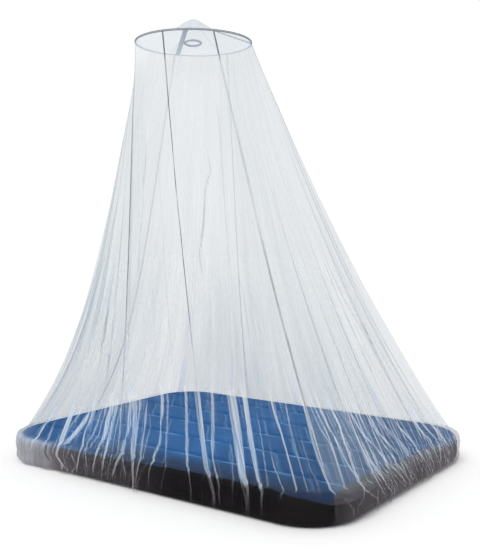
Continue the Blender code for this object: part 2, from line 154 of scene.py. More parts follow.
# Creases of the near side, each a line of the picture: its width there, the share by
# which it clouds the net, then x and y of its points from top to bottom.
CREASES = (
    # on the left, crowded and crossing
    (2.2, 0.84, 51, 419, 45, 425, 39, 435, 33, 443, 29, 451), (1.6, 0.35, 44, 424, 38, 432),
    (2.4, 0.50, 50, 436, 44, 445, 37, 453), (2.2, 0.40, 57, 440, 53, 450, 50, 460),
    (8.0, 0.90, 72, 415, 68, 425, 64, 436, 59, 446, 57, 455, 62, 464),
    (3.0, 0.45, 80, 414, 72, 426, 66, 438), (5.5, 0.84, 90, 414, 82, 425, 73, 437, 66, 443),
    (4.0, 0.66, 94, 413, 90, 423, 85, 433, 84, 442, 79, 456, 77, 467),
    (2.0, 0.45, 102, 411, 98, 423, 94, 433, 88, 443, 85, 451, 87, 464),
    (2.2, 0.50, 106, 413, 100, 434, 91, 446),
    (5.5, 0.70, 112, 408, 108, 422, 106, 432, 103, 441, 98, 449, 93, 468),
    (3.6, 0.58, 116, 409, 112, 425, 109, 440, 106, 450, 103, 462),
    (1.8, 0.35, 122, 408, 118, 424, 114, 440),
    (4.4, 0.48, 131, 404, 130, 420, 128, 435, 123, 450, 116, 465, 113, 474),
    (5.5, 0.46, 135, 404, 135, 430, 133, 450, 133, 470, 133, 490),
    (2.2, 0.40, 141, 405, 138, 425, 136, 440, 135, 456),
    (2.4, 0.44, 148, 403, 146, 425, 143, 440, 141, 456, 138, 468, 136, 480),
    (1.6, 0.34, 151, 426, 147, 445, 142, 460), (3.0, 0.40, 61, 462, 67, 470),
    (2.6, 0.40, 72, 455, 76, 466, 72, 473), (2.0, 0.34, 105, 452, 102, 470),
    (2.0, 0.34, 112, 455, 108, 472), (2.2, 0.32, 123, 458, 125, 472),
    (2.0, 0.30, 147, 463, 141, 473, 137, 485),
    # over the near side
    (3.2, 0.56, 163, 400, 162, 425, 160, 443, 155, 455, 149, 472),
    (2.4, 0.36, 168, 400, 167, 440, 166, 466, 161, 488),
    (3.2, 0.60, 186, 394, 187, 440, 188, 465, 191, 490),
    (2.6, 0.42, 196, 396, 200, 430, 205, 466, 212, 492),
    (5.0, 0.60, 200, 396, 204.5, 445, 208, 470, 214, 494),
    (3.6, 0.52, 212, 397, 213, 430, 213, 457, 219, 486),
    (3.0, 0.40, 229, 400, 235, 440, 241, 480, 246, 500),
    (7.5, 0.62, 233, 400, 239, 438, 243, 474, 248, 492),
    (5.0, 0.64, 245.5, 400, 251, 438, 257, 471, 262, 493), (1.8, 0.30, 260, 430, 263, 450, 268, 486),
    (2.4, 0.54, 271, 401, 276, 420, 281, 433, 290, 465), (1.8, 0.42, 286, 405, 290, 425, 296, 448),
    (1.8, 0.40, 275, 467, 284, 491), (1.6, 0.22, 304, 450, 310, 470, 316, 482),
    (1.6, 0.26, 234, 459, 233, 485),
    # round the front corner and along the right side
    (2.4, 0.55, 303, 404, 307, 420, 312, 440, 318, 460, 324, 475, 331, 490),
    (2.0, 0.32, 312, 410, 319, 427, 328, 441, 333, 453),
    (2.6, 0.46, 320, 409, 328, 428, 337, 444, 344, 460, 351, 470, 357, 478),
    (2.2, 0.62, 333, 412, 339, 424, 344, 441, 349, 452, 353, 467, 358, 479, 363, 488, 371, 494, 378,
     499), (1.8, 0.36, 331, 490, 337, 496, 347, 500, 357, 501), (2.0, 0.40, 346, 500, 354, 510),
    (2.4, 0.42, 364, 487, 364, 497, 358, 507), (1.6, 0.22, 335, 499, 337, 519),
    (2.4, 0.58, 349, 411, 355, 422, 362, 434, 369, 442, 377, 451, 385, 461, 392, 467, 399, 474, 406,
     483), (1.8, 0.42, 357, 413, 366, 432, 372, 443, 380, 453),
    (2.6, 0.60, 367, 412, 372, 422, 378, 433, 386, 442, 393, 450, 400, 458, 405, 464, 409, 472, 412,
     478), (6.0, 0.32, 377, 417, 389, 433, 400, 444, 411, 456),
    (2.2, 0.66, 391, 417, 398, 427, 406, 436, 412, 443, 418, 451, 422, 458),
    (2.2, 0.52, 404, 417, 412, 429, 420, 439, 427, 447, 431, 455),
    (2.0, 0.52, 412, 419, 420, 431, 428, 438, 433, 445, 436, 455),
    (2.8, 0.64, 418, 419, 427, 430, 434, 438, 439, 444, 441, 458),
    (3.0, 0.50, 427, 420, 436, 431, 444, 439, 447, 448), (2.2, 0.46, 439, 421, 447, 432, 451, 440),
    (2.0, 0.42, 447, 424, 452, 432, 455, 441), (1.5, 0.40, 366, 463, 374, 472),
    (1.8, 0.54, 370, 461, 378, 471, 386, 484, 393, 494), (1.5, 0.42, 376, 461, 388, 472),
    (1.5, 0.36, 362, 470, 368, 481), (2.0, 0.42, 415.5, 456, 420, 466, 422, 474),
    (2.0, 0.36, 427, 450, 434, 465),
)
# Long pale pleats of the net high up, the same way, and then the dark ones, whose darkness is painted
# shade in their folds.
PLEATS = (
    (3.0, 0.24, 206, 215, 203, 260, 201, 300, 199, 345, 197, 392),
    (3.2, 0.22, 214, 300, 212, 345, 213, 396), (2.0, 0.28, 262, 325, 268, 352, 274, 380, 280, 402),
    (2.0, 0.24, 257, 330, 263, 356, 270, 386), (2.4, 0.20, 252, 300, 256, 330, 262, 365, 268, 399),
    (3.4, 0.16, 230, 240, 235, 300, 240, 350, 246, 398),
    (4.2, 0.20, 178, 190, 184, 232, 190, 275, 196, 312),
    (3.4, 0.18, 170, 280, 166, 330, 161, 380, 159, 400), (3.0, 0.22, 152, 320, 144, 360, 136, 400),
    (2.4, 0.22, 141, 320, 131, 365, 122, 402), (2.4, 0.22, 129, 320, 118, 365, 108, 404),
    (2.4, 0.24, 118, 325, 105, 372, 95, 404), (2.2, 0.24, 103, 320, 85, 372, 70, 406),
    (2.6, 0.18, 113, 250, 105, 300, 93, 345), (1.8, 0.24, 92, 345, 76, 382, 58, 412),
    (4.0, 0.14, 150, 90, 146, 150, 141, 210, 136, 270), (5.0, 0.16, 176, 75, 182, 130, 188, 190),
    (5.0, 0.14, 196, 75, 199, 140, 201, 200), (4.0, 0.14, 226, 70, 238, 130, 249, 186),
    (3.6, 0.16, 241, 62, 256, 110, 272, 160, 290, 205),
    (2.2, 0.22, 322, 228, 345, 275, 372, 325, 402, 373),
    (2.4, 0.20, 312, 250, 335, 300, 358, 345, 382, 386),
    (2.8, 0.20, 300, 262, 320, 310, 340, 352, 360, 393), (2.0, 0.22, 340, 290, 375, 345, 418, 398),
    (3.0, 0.16, 290, 232, 305, 290, 322, 350, 334, 396),
)
SHADED_PLEATS = (
    (1.6, 0.34, 211, 171, 205, 192, 203, 230, 201, 252), (1.7, 0.36, 105, 322, 100, 345, 95, 369),
    (1.6, 0.16, 147, 150, 143, 210, 139, 260), (1.8, 0.14, 219, 120, 224, 190, 229, 260),
    (1.6, 0.18, 245, 300, 252, 350, 259, 397), (1.6, 0.20, 326, 262, 347, 305, 372, 348),
    (1.6, 0.24, 366, 333, 391, 368, 420, 400), (2.6, 0.40, 46, 446, 45, 453, 49, 459),
    (2.0, 0.36, 53, 444, 50, 450, 52, 457),
)
# Fine creases spread between two lines of the picture: how many, width, cloud, and
# the first and the last line.
CREASE_FANS = (
    (19, 1.2, 0.27, (70, 416, 62, 438, 58, 456, 64, 470), (148, 404, 146, 432, 141, 460, 137, 486)),
    (12, 1.3, 0.24, (86, 413, 72, 436, 62, 452, 58, 466), (150, 404, 138, 436, 124, 462, 114, 478)),
    (26, 1.2, 0.58, (341, 411, 352, 440, 368, 474, 380, 496), (447, 423, 453, 433, 458, 446, 458, 456)),
    (14, 1.1, 0.54, (354, 412, 374, 445, 397, 477, 405, 487), (441, 422, 450, 434, 456, 444, 457, 452)),
    (9, 1.1, 0.46, (361, 462, 374, 477, 388, 492), (400, 464, 410, 477, 417, 484)),
    (11, 1.1, 0.38, (308, 403, 318, 424, 327, 446), (345, 409, 356, 430, 368, 452)),
    (13, 1.1, 0.16, (190, 398, 195, 440, 201, 480), (300, 402, 312, 442, 326, 482)),
)
PLEAT_FANS = (
    (22, 2.2, 0.10, (160, 190, 151, 300, 142, 399), (262, 190, 285, 300, 302, 399)),
    (14, 1.6, 0.15, (268, 150, 300, 250, 325, 330, 345, 404), (300, 205, 345, 285, 390, 365, 425, 410)),
    (12, 1.6, 0.15, (113, 250, 93, 330, 60, 408), (135, 250, 132, 330, 128, 402)),
    (12, 3.0, 0.08, (146, 70, 140, 130, 133, 200), (236, 70, 250, 130, 266, 190)),
)
CREASE_LIFT = 0.12           # height of a crease as a share of its width
CREASE_FADE_UP = 0.06        # share of the drop over which it fades upward
CREASE_FADE_DOWN = 0.30      # share of the skirt over which it fades downward
PLEAT_FADE = 0.10            # share of the drop over which a pleat fades downward
BACK_CREASES = (     # u, top, half width in metres, cloud
    (3.22, 0.50, 0.016, 0.26), (3.37, 0.62, 0.020, 0.30), (3.58, 0.40, 0.014, 0.22),
    (3.76, 0.66, 0.018, 0.34), (3.93, 0.55, 0.013, 0.24), (4.10, 0.60, 0.017, 0.30),
    (4.24, 0.45, 0.014, 0.24), (4.42, 0.64, 0.020, 0.36), (4.61, 0.52, 0.014, 0.22),
    (4.80, 0.60, 0.017, 0.30), (4.95, 0.48, 0.013, 0.26), (5.12, 0.58, 0.016, 0.30),
    (5.27, 0.66, 0.014, 0.28), (5.41, 0.50, 0.014, 0.26),
)
BACK_CREASE_END = 1.75
# Spans of u, each easing in and out: where creases carry on over the dark side,
# where they are fainter there, and the back.
FRONT_SPAN = (0.2, 0.5, 2.0, 2.2)
FAINT_SPAN = (0.25, 0.5, 2.0, 2.15)
BACK_SPAN = (3.0, 3.4, 5.3, 5.6)
FRONT_CARRY = 1.4            # how much further creases reach there
FAINT_SHARE = 0.64
END_NARROWS, RIM_NARROWS = 0.6, 0.45     # shares of a crease's width lost there
RIM_V = (0.97, 1.35)         # v over which a crease narrows past the rim
# v at which the haze over the mattress starts and is full, and what the back adds.
HAZE_START, HAZE_FULL = (0.64, -0.26), (0.86, 0.09)
# Waves of the cloth round the net: waves a panel, phase and height, as shares.
RIPPLES = ((9.0, 0.13, 0.5), (14.3, 0.61, 0.35), (23.7, 0.37, 0.22))
CRINKLES = ((17.0, 0.2, 0.5), (27.0, 0.7, 0.4), (41.0, 0.4, 0.3))
RIPPLE_DEEP, CRINKLE_DEEP, NET_PROUD = 0.004, 0.007, 0.004
CRINKLE_U = (0.3, 0.7, 1.9, 2.3, 3.2, 5.4)
CRINKLE_GAIN = (1.0, 0.25, 0.25, 1.0, 0.5, 1.0)
MOST_COVER = 0.93
LOWEST = 0.0010              # the net and its tapes stay this far over the floor


# ---- small helpers -------------------------------------------------------
def ease(x, low, high):
    """Smooth step from 0 at low to 1 at high."""
    t = np.clip((x - low) / (high - low), 0.0, 1.0)
    return t * t * (3.0 - 2.0 * t)


def bump(offset, width):
    """A smooth ridge, 1 at offset 0 and 0 from width outward."""
    near = np.clip(np.abs(offset) / width, 0.0, 1.0)
    return np.cos(0.5 * np.pi * near) ** 2


def band_shape(share):
    """A soft band with brighter edges, from its middle at 0 to its side at 1."""
    share = np.abs(share)
    return 0.80 * (1.0 - ease(share, 0.50, 1.0)) + 0.30 * bump(share - 0.62, 0.30)


def wrapped(offset, lap):
    """An offset brought to within half a lap of 0."""
    return (offset + 0.5 * lap) % lap - 0.5 * lap


def within(u, span):
    """1 inside a span of u, and 0 outside it."""
    return np.interp(u, span, (0.0, 1.0, 1.0, 0.0))


def unit(rows):
    return rows / np.maximum(np.linalg.norm(rows, axis=-1, keepdims=True), 1e-9)


def columns(*values):
    return np.stack(np.broadcast_arrays(*values), axis=-1)


def wave(x, *terms):
    """A sum of sines, each term as waves per unit, phase and height."""
    return sum(height * np.sin(2.0 * np.pi * (rate * x + phase))
               for rate, phase, height in terms)


def mesh_piece(name, points, faces, finishes, replaced, slot, picks=None, cloth=None,
               **values):
    """A piece on the root body. cloth is its map in metres, values are for its points."""
    mesh = bpy.data.meshes.new(name)
    mesh.from_pydata(np.reshape(points, (-1, 3)).tolist(), [], faces)
    mesh.shade_smooth()
    for finish in finishes:
        mesh.materials.append(finish)
    if picks is not None:
        mesh.polygons.foreach_set("material_index", picks)
    for key, value in values.items():
        layer = mesh.attributes.new(key, "FLOAT", "POINT")
        layer.data.foreach_set("value", np.asarray(value, np.float32).ravel())
    if cloth is not None:
        corner = np.zeros(len(mesh.loops), np.int32)
        mesh.loops.foreach_get("vertex_index", corner)
        pairs = columns(*(np.ravel(k) for k in cloth))[corner]
        layer = mesh.uv_layers.new(name="cloth")
        layer.data.foreach_set("uv", pairs.astype(np.float32).ravel())
    made = bpy.data.objects.new(name, mesh)
    bpy.context.scene.collection.objects.link(made)
    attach(made, ROOT)
    if replaced:
        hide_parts(replaced)
    return made


def grid_faces(rows, across, closed=False, ring=False):
    """Quads of a grid: closed joins the ends of each row, ring the last to the first."""
    i, j = np.meshgrid(np.arange(rows if ring else rows - 1),
                       np.arange(across if closed else across - 1), indexing="ij")
    k, i, m = (j + 1) % across, i * across, (i + 1) % rows * across
    return columns(i + j, i + k, m + k, m + j).reshape(-1, 4).tolist()


# ---- mattress outline and the net's surface ------------------------------
STRAIGHT_X = BED_LENGTH - 2.0 * BED_CORNER
STRAIGHT_Y = BED_WIDTH - 2.0 * BED_CORNER
CORNER_RUN = 0.5 * math.pi * BED_CORNER
SIDE_RUNS = np.array([STRAIGHT_X, STRAIGHT_Y, STRAIGHT_X, STRAIGHT_Y])
OUTLINE_RUN = 2.0 * (STRAIGHT_X + STRAIGHT_Y) + 4.0 * CORNER_RUN
SIDE_STARTS = np.concatenate([[0.0], np.cumsum(SIDE_RUNS + CORNER_RUN)[:-1]])


def locate(run):
    """Side of the outline, and distance from the start of the corner before it."""
    into = (run + 0.5 * CORNER_RUN) % OUTLINE_RUN
    side = np.searchsorted(SIDE_STARTS, into, side="right") - 1
    return side, into - SIDE_STARTS[side]


def outline(run):
    """Points and outward normals of the widest mattress outline, in plan."""
    side, into = locate(run)
    corner_x = np.array([-0.5, 0.5, 0.5, -0.5])[side] * STRAIGHT_X
    corner_y = np.array([-0.5, -0.5, 0.5, 0.5])[side] * STRAIGHT_Y
    angle = np.radians(180.0 + 90.0 * (side + np.minimum(into / CORNER_RUN, 1.0)))
    normal = columns(np.cos(angle), np.sin(angle))
    heading = np.radians(90.0 * side)
    past = np.maximum(into - CORNER_RUN, 0.0)
    along = columns(np.cos(heading) * past, np.sin(heading) * past)
    return columns(corner_x, corner_y) + normal * BED_CORNER + along, normal


def laps(values, lap):
    """Guide values over three laps, so that any u can be looked up."""
    once = np.array(values, float)
    return np.concatenate([once - lap, once, once + lap])


GUIDE_U, *GUIDED = (laps(values, lap) for values, lap in zip(
    zip(*GUIDES), (PANELS, 360.0, OUTLINE_RUN, 0.0, 0.0)))


def guided(u):
    """Angle round the hoop in degrees, run, straight and flare of the net at u."""
    return (np.interp(u, GUIDE_U, values) for values in GUIDED)


def fold_depth(u, drop):
    panel = np.floor(u).astype(int) % PANELS
    share = u - np.floor(u)
    depth = np.zeros(np.shape(u))
    for index, folds in enumerate(FOLDS):
        for centre, width, deep, top in folds:
            grown = np.clip((drop - top) / (FOLDS_FULL - top), 0.0, 1.0)
            ridge = deep * grown * bump(share - centre, width)
            depth += np.where(panel == index, ridge, 0.0)
    return depth


def side_clearance(run):
    side, into = locate(run)
    past = np.maximum(into - CORNER_RUN, 0.0)
    away = np.minimum(past, SIDE_RUNS[side] - past)
    corner = 1.0 - np.clip((away - CORNER_LEAD) / CORNER_EASE, 0.0, 1.0)
    return NET_SIDE_REST + corner * (NET_CORNER_CLEAR - NET_SIDE_REST)


def lump_depth(run):
    depth = np.zeros(np.shape(run))
    for centre, width, deep in HEM_LUMPS:
        depth += deep * bump(wrapped(run - centre, OUTLINE_RUN), width)
    return depth


def through(knots, values, x):
    """A smooth curve through values at the knots, looked up at x."""
    knots, values = np.array(knots, float), np.array(values, float)
    slopes = np.gradient(values, knots)
    k = np.clip(np.searchsorted(knots, x, side="right") - 1, 0, len(knots) - 2)
    step = knots[k + 1] - knots[k]
    t = np.clip((x - knots[k]) / step, 0.0, 1.0)
    return ((1 + 2 * t) * (1 - t) ** 2 * values[k] + t * (1 - t) ** 2 * step * slopes[k]
            + t * t * (3 - 2 * t) * values[k + 1]
            + t * t * (t - 1) * step * slopes[k + 1])


SKIRT_HEIGHTS, SKIRT_OUT, SKIRT_GAINS = (np.array(k) for k in zip(*SKIRT))
SKIRT_STEPS = np.hypot(np.diff(SKIRT_HEIGHTS), np.diff(SKIRT_OUT))
SKIRT_LENGTH = SKIRT_STEPS.sum()
SKIRT_KNOTS = np.concatenate([[0.0], np.cumsum(SKIRT_STEPS)]) / SKIRT_LENGTH


def net_surface(u, v):
    """Middle of the net at u, in panels, and v: 0 hoop, 1 rim, 2 hem."""
    u, v = np.broadcast_arrays(np.asarray(u, float), np.asarray(v, float))
    degrees, run, straight, flare = guided(u)
    angle = np.radians(degrees)
    rim, normal = outline(run)
    hoop_out = columns(np.cos(angle), np.sin(angle))
    drop = np.clip(v, 0.0, 1.0)
    spread = (straight * drop + (1.0 - straight) * drop ** flare)[..., None]
    top = HOOP_CENTRE[:2] + hoop_out * HOOP_RADIUS
    edge = rim - normal * BED_TOP_ROUND
    out = unit(hoop_out + (normal - hoop_out) * spread)
    depth = through(*zip(*FOLD_GAINS), drop) * fold_depth(u, drop)
    plan = top + (edge - top) * spread + out * depth[..., None]
    top_z, edge_z = HOOP_CENTRE[2] - HOOP_SEAT, BED_HEIGHT + NET_LIFT
    height = top_z + (edge_z - top_z) * drop

    down = np.clip(v - 1.0, 0.0, 1.0)
    skirt_z = np.maximum(through(SKIRT_KNOTS, SKIRT_HEIGHTS, down), HEM_LOWEST)
    outside = through(SKIRT_KNOTS, SKIRT_OUT, down)
    outside = outside + side_clearance(run) * ease(down, 0.0, SKIRT_KNOTS[1])
    outside = outside + through(SKIRT_KNOTS, SKIRT_GAINS, down) * fold_depth(u, 1.0)
    low_share = np.clip(1.0 - skirt_z / BED_HEIGHT, 0.0, 1.0)
    outside = outside + low_share ** 2 * lump_depth(run)
    below = (v > 1.0)[..., None]
    plan = np.where(below, rim + normal * outside[..., None], plan)
    return np.concatenate([plan, np.where(below, skirt_z[..., None], height[..., None])],
                          axis=-1)


def net_normal(u, v):
    """Outward normals of the net."""
    du, dv = 0.004, 0.012
    across = net_surface(u + du, v) - net_surface(u - du, v)
    down = (net_surface(u, np.minimum(v + dv, 2.0))
            - net_surface(u, np.maximum(v - dv, 0.0)))
    return unit(np.cross(down, across))


def panel_metres(u, v, step):
    """Metres of net across one panel, by the slope at u and v."""
    span = net_surface(u + step, v) - net_surface(u - step, v)
    return np.linalg.norm(span, axis=-1) / (2.0 * step)


# ---- creases -------------------------------------------------------------
def picture_place(points):
    """Where points show in the picture, in px, and how far away they are."""
    away = points - CAMERA_PLACE
    level = away[..., :2] @ CAMERA_HEADING
    right = away[..., :2] @ np.array([CAMERA_HEADING[1], -CAMERA_HEADING[0]])
    dip, flat = math.sin(CAMERA_PITCH), math.cos(CAMERA_PITCH)
    depth = level * flat - away[..., 2] * dip
    rise = away[..., 2] * flat + level * dip
    return columns(0.5 * PICTURE_WIDE + FOCAL_PX * right / depth,
                   0.5 * PICTURE_HIGH - FOCAL_PX * rise / depth), depth


# A grid over the near half of the net, and where its points show.
NEAR_U = np.linspace(-0.85, 3.45, 260)
NEAR_V = np.linspace(0.02, 1.95, 194)
near_u, near_v = np.meshgrid(NEAR_U, NEAR_V)
near_points = net_surface(near_u, near_v)
near_picture, near_depth = picture_place(near_points)
near_facing = ((CAMERA_PLACE - near_points) * net_normal(near_u, near_v)).sum(-1) > 0.0
picture_rows = near_picture.tolist()
column_metres = np.linalg.norm(np.diff(near_points, axis=1), axis=-1)


def near_at(row, column):
    """Picture place between the near grid's points, and its slopes down and across."""
    i = min(max(int(row), 0), len(NEAR_V) - 2)
    j = min(max(int(column), 0), len(NEAR_U) - 2)
    a, b = row - i, column - j
    (x0, y0), (x1, y1) = picture_rows[i][j:j + 2]
    (x2, y2), (x3, y3) = picture_rows[i + 1][j:j + 2]
    place = ((1 - a) * ((1 - b) * x0 + b * x1) + a * ((1 - b) * x2 + b * x3),
             (1 - a) * ((1 - b) * y0 + b * y1) + a * ((1 - b) * y2 + b * y3))
    down = ((1 - b) * (x2 - x0) + b * (x3 - x1), (1 - b) * (y2 - y0) + b * (y3 - y1))
    across = ((1 - a) * (x1 - x0) + a * (x3 - x2), (1 - a) * (y1 - y0) + a * (y3 - y2))
    return place, down, across


SETTLE_TURNS, SETTLE_REACH, SETTLE_CALM, SETTLE_DONE = 12, 3.0, 0.02, 0.01


def settle(spot, target):
    """Move a spot of the near grid until it shows at a place of the picture."""
    row, column = spot
    for _ in range(SETTLE_TURNS):
        (x, y), (xr, yr), (xc, yc) = near_at(row, column)
        off_x, off_y = target[0] - x, target[1] - y
        a, b = xr * xr + yr * yr + SETTLE_CALM, xr * xc + yr * yc
        d = xc * xc + yc * yc + SETTLE_CALM
        push_r, push_c = xr * off_x + yr * off_y, xc * off_x + yc * off_y
        whole = a * d - b * b
        step_r = min(max((d * push_r - b * push_c) / whole, -SETTLE_REACH), SETTLE_REACH)
        step_c = min(max((a * push_c - b * push_r) / whole, -SETTLE_REACH), SETTLE_REACH)
        row = min(max(row + step_r, 0.0), len(NEAR_V) - 1.001)
        column = min(max(column + step_c, 0.0), len(NEAR_U) - 1.001)
        if abs(step_r) + abs(step_c) < SETTLE_DONE:
            break
    return row, column


def start_spot(target):
    """The near grid's foremost point that shows at a place of the picture."""
    gap = np.hypot(*(near_picture - target).transpose(2, 0, 1))
    gap = gap + np.where(near_facing, 0.0, BEHIND_PX)
    close = gap < max(2.0, gap.min() + 0.5)
    return np.unravel_index(np.argmin(np.where(close, near_depth, 1e9)), gap.shape)


STEP_PX = 1.5                # pace along a line of the picture
BEHIND_PX = 1000.0           # added to the gap of points on the net's far side
WIDEST_PX = 0.009            # most metres of net taken for 1 px across
NO_WIDER_V = 0.93            # v below which a crease gets no wider
Crease = namedtuple("Crease", "width cloud line")
Ridge = namedtuple("Ridge", "u v half cloud")      # half its width, in metres


def stepped(line):
    """Points along a line of the picture, an even pace apart."""
    spans = np.linalg.norm(np.diff(line, axis=0), axis=1)
    run = np.concatenate([[0.0], np.cumsum(spans)])
    at = np.linspace(0.0, run[-1], max(int(run[-1] / STEP_PX), 1) + 1)
    return columns(np.interp(at, run, line[:, 0]), np.interp(at, run, line[:, 1]))


def evened(values):
    """Values along a line with their small wobbles taken out, ends kept."""
    for _ in range(2):
        inner = 0.25 * values[:-2] + 0.5 * values[1:-1] + 0.25 * values[2:]
        values = np.concatenate([values[:1], inner, values[-1:]])
    return values


def near_ridge(crease):
    """A crease of the picture as a ridge of the net, no wider below the rim."""
    spot, rows = None, []
    for target in stepped(crease.line):
        spot = settle(start_spot(target) if spot is None else spot, target)
        across = near_at(*spot)[2]
        per_px = column_metres[int(spot[0]), int(spot[1])] / max(abs(across[0]), 0.05)
        rows.append((NEAR_U[0] + spot[1] * (NEAR_U[1] - NEAR_U[0]),
                     NEAR_V[0] + spot[0] * (NEAR_V[1] - NEAR_V[0]),
                     0.5 * crease.width * min(per_px, WIDEST_PX)))
    u, v, half = (np.array(k) for k in zip(*rows))
    v = np.maximum.accumulate(v + 1e-6 * np.arange(len(v)))
    widest = np.interp(NO_WIDER_V, v, half)
    half = np.where(v > NO_WIDER_V, np.minimum(half, widest), half)
    return Ridge(evened(u), evened(v), evened(half), crease.cloud)


def spread_out(fans):
    """The creases of fans, unevenly spaced and of uneven width and strength."""
    made = []
    for count, width, cloud, *ends in fans:
        first, last = (np.reshape(line, (-1, 2)) for line in ends)
        for k in range(count):
            share = (k + 0.5 + 0.42 * math.sin(5.1 * k + count)) / count
            made.append(Crease(width * (0.65 + 0.8 * (k * 0.618 % 1.0)),
                               cloud * (0.40 + (k * 0.754 % 1.0)),
                               first + (last - first) * share))
    return made


def near_ridges(rows, fans=()):
    made = [Crease(width, cloud, np.reshape(line, (-1, 2))) for width, cloud, *line in rows]
    return [near_ridge(crease) for crease in made + spread_out(fans)]


RIDGES = near_ridges(CREASES, CREASE_FANS)
RIDGES += [Ridge(np.array([u, u]), np.array([top, BACK_CREASE_END]),
                 np.array([half, half]), cloud) for u, top, half, cloud in BACK_CREASES]
PALE_RIDGES = near_ridges(PLEATS, PLEAT_FANS)
SHADED_RIDGES = near_ridges(SHADED_PLEATS)


def ridge_field(ridges, u, v, metres, fade_down):
    """(height in metres, cloud) of ridges over the net."""
    lift, clear = np.zeros(np.shape(u)), np.ones(np.shape(u))
    middle, reach = 0.5 * (u.min() + u.max()), 0.5 * (u.max() - u.min()) + 0.25
    for ridge in ridges:
        gap = wrapped(0.5 * (ridge.u.min() + ridge.u.max()) - middle, PANELS)
        if abs(gap) > reach + 0.5 * (ridge.u.max() - ridge.u.min()):
            continue
        away = wrapped(u - np.interp(v, ridge.v, ridge.u), PANELS)
        carry = FRONT_CARRY * within(ridge.u[-1], FRONT_SPAN) * ease(ridge.v[-1], 0.95, 1.02)
        fading = fade_down * (1.0 + carry)
        ending = ease(v, ridge.v[-1] - 0.3 * fade_down, ridge.v[-1] + fading)
        half = np.interp(v, ridge.v, ridge.half) * (1.0 - END_NARROWS * ending)
        half = half * (1.0 - RIM_NARROWS * ease(v, *RIM_V))
        share = np.abs(away) * metres / half
        live = ease(v, ridge.v[0] - CREASE_FADE_UP, ridge.v[0] + 0.01) * (1.0 - ending)
        lift = lift + CREASE_LIFT * 2.0 * half * bump(share, 1.0) * live
        clear = clear * (1.0 - ridge.cloud * band_shape(share) * live)
    return lift, 1.0 - clear


def crease_fields(u, v):
    """Height of the creases in metres, how they cloud the net, and the painted shade of the dark
    pleats.
    """
    metres = panel_metres(u, v, 0.004)
    lift, cloud = ridge_field(RIDGES, u, v, metres, CREASE_FADE_DOWN)
    faint = FAINT_SHARE * ease(v, 0.99, 1.30) * within(u % PANELS, FAINT_SPAN)
    cloud = cloud * (1.0 - faint)
    pale_lift, pale = ridge_field(PALE_RIDGES, u, v, metres, PLEAT_FADE)
    dark_lift, dark = ridge_field(SHADED_RIDGES, u, v, metres, PLEAT_FADE)
    return lift + pale_lift - dark_lift, 1.0 - (1.0 - cloud) * (1.0 - pale), dark


def net_haze(u, v):
    place = u % PANELS
    places, *levels = zip(*HAZE)
    hoop, high, bed, skirt = (np.interp(place, places, k, period=PANELS) for k in levels)
    back = within(place, BACK_SPAN)
    span = (base + more * back for base, more in (HAZE_START, HAZE_FULL))
    low = high + (bed - high) * ease(v, *span)
    low = low + (skirt - low) * ease(v, 1.02, 1.28)
    return hoop + (low - hoop) * ease(v, 0.02, 0.09)


def net_skin(u, v):
    """Points of the finished net, its opacity, its creases and the painted shade of its dark pleats."""
    rise, cloud, dark = crease_fields(u, v)
    hushed = ease(v, 0.0, 0.05) * (1.0 - ease(v, 1.86, 1.98))
    ripple = wave(u, *RIPPLES) * RIPPLE_DEEP * ease(v, 0.02, 0.30)
    ripple = ripple * (1.0 - 0.8 * ease(v, 0.9, 1.05))
    crinkle = np.maximum(wave(u, *CRINKLES), 0.0) * CRINKLE_DEEP * ease(v, 1.1, 1.5)
    crinkle = crinkle * np.interp(u % PANELS, CRINKLE_U, CRINKLE_GAIN)
    proud = NET_PROUD * ease(v, 0.05, 0.2) * (v < 1.0)
    tall = (rise + ripple + crinkle + proud) * hushed
    tall = np.where(v > 1.0, np.maximum(tall, 0.0), tall)
    points = net_surface(u, v) + net_normal(u, v) * tall[..., None]
    points[..., 2] = np.maximum(points[..., 2], LOWEST)
    haze = net_haze(u, v)
    open_share = (1.0 - haze) * (1.0 - cloud) * (1.0 - dark)
    cloud = np.maximum(cloud, 0.3 * ease(haze, 0.40, 0.58) * (v > 1.0))
    return points, np.clip(1.0 - open_share, 0.0, MOST_COVER), cloud, dark


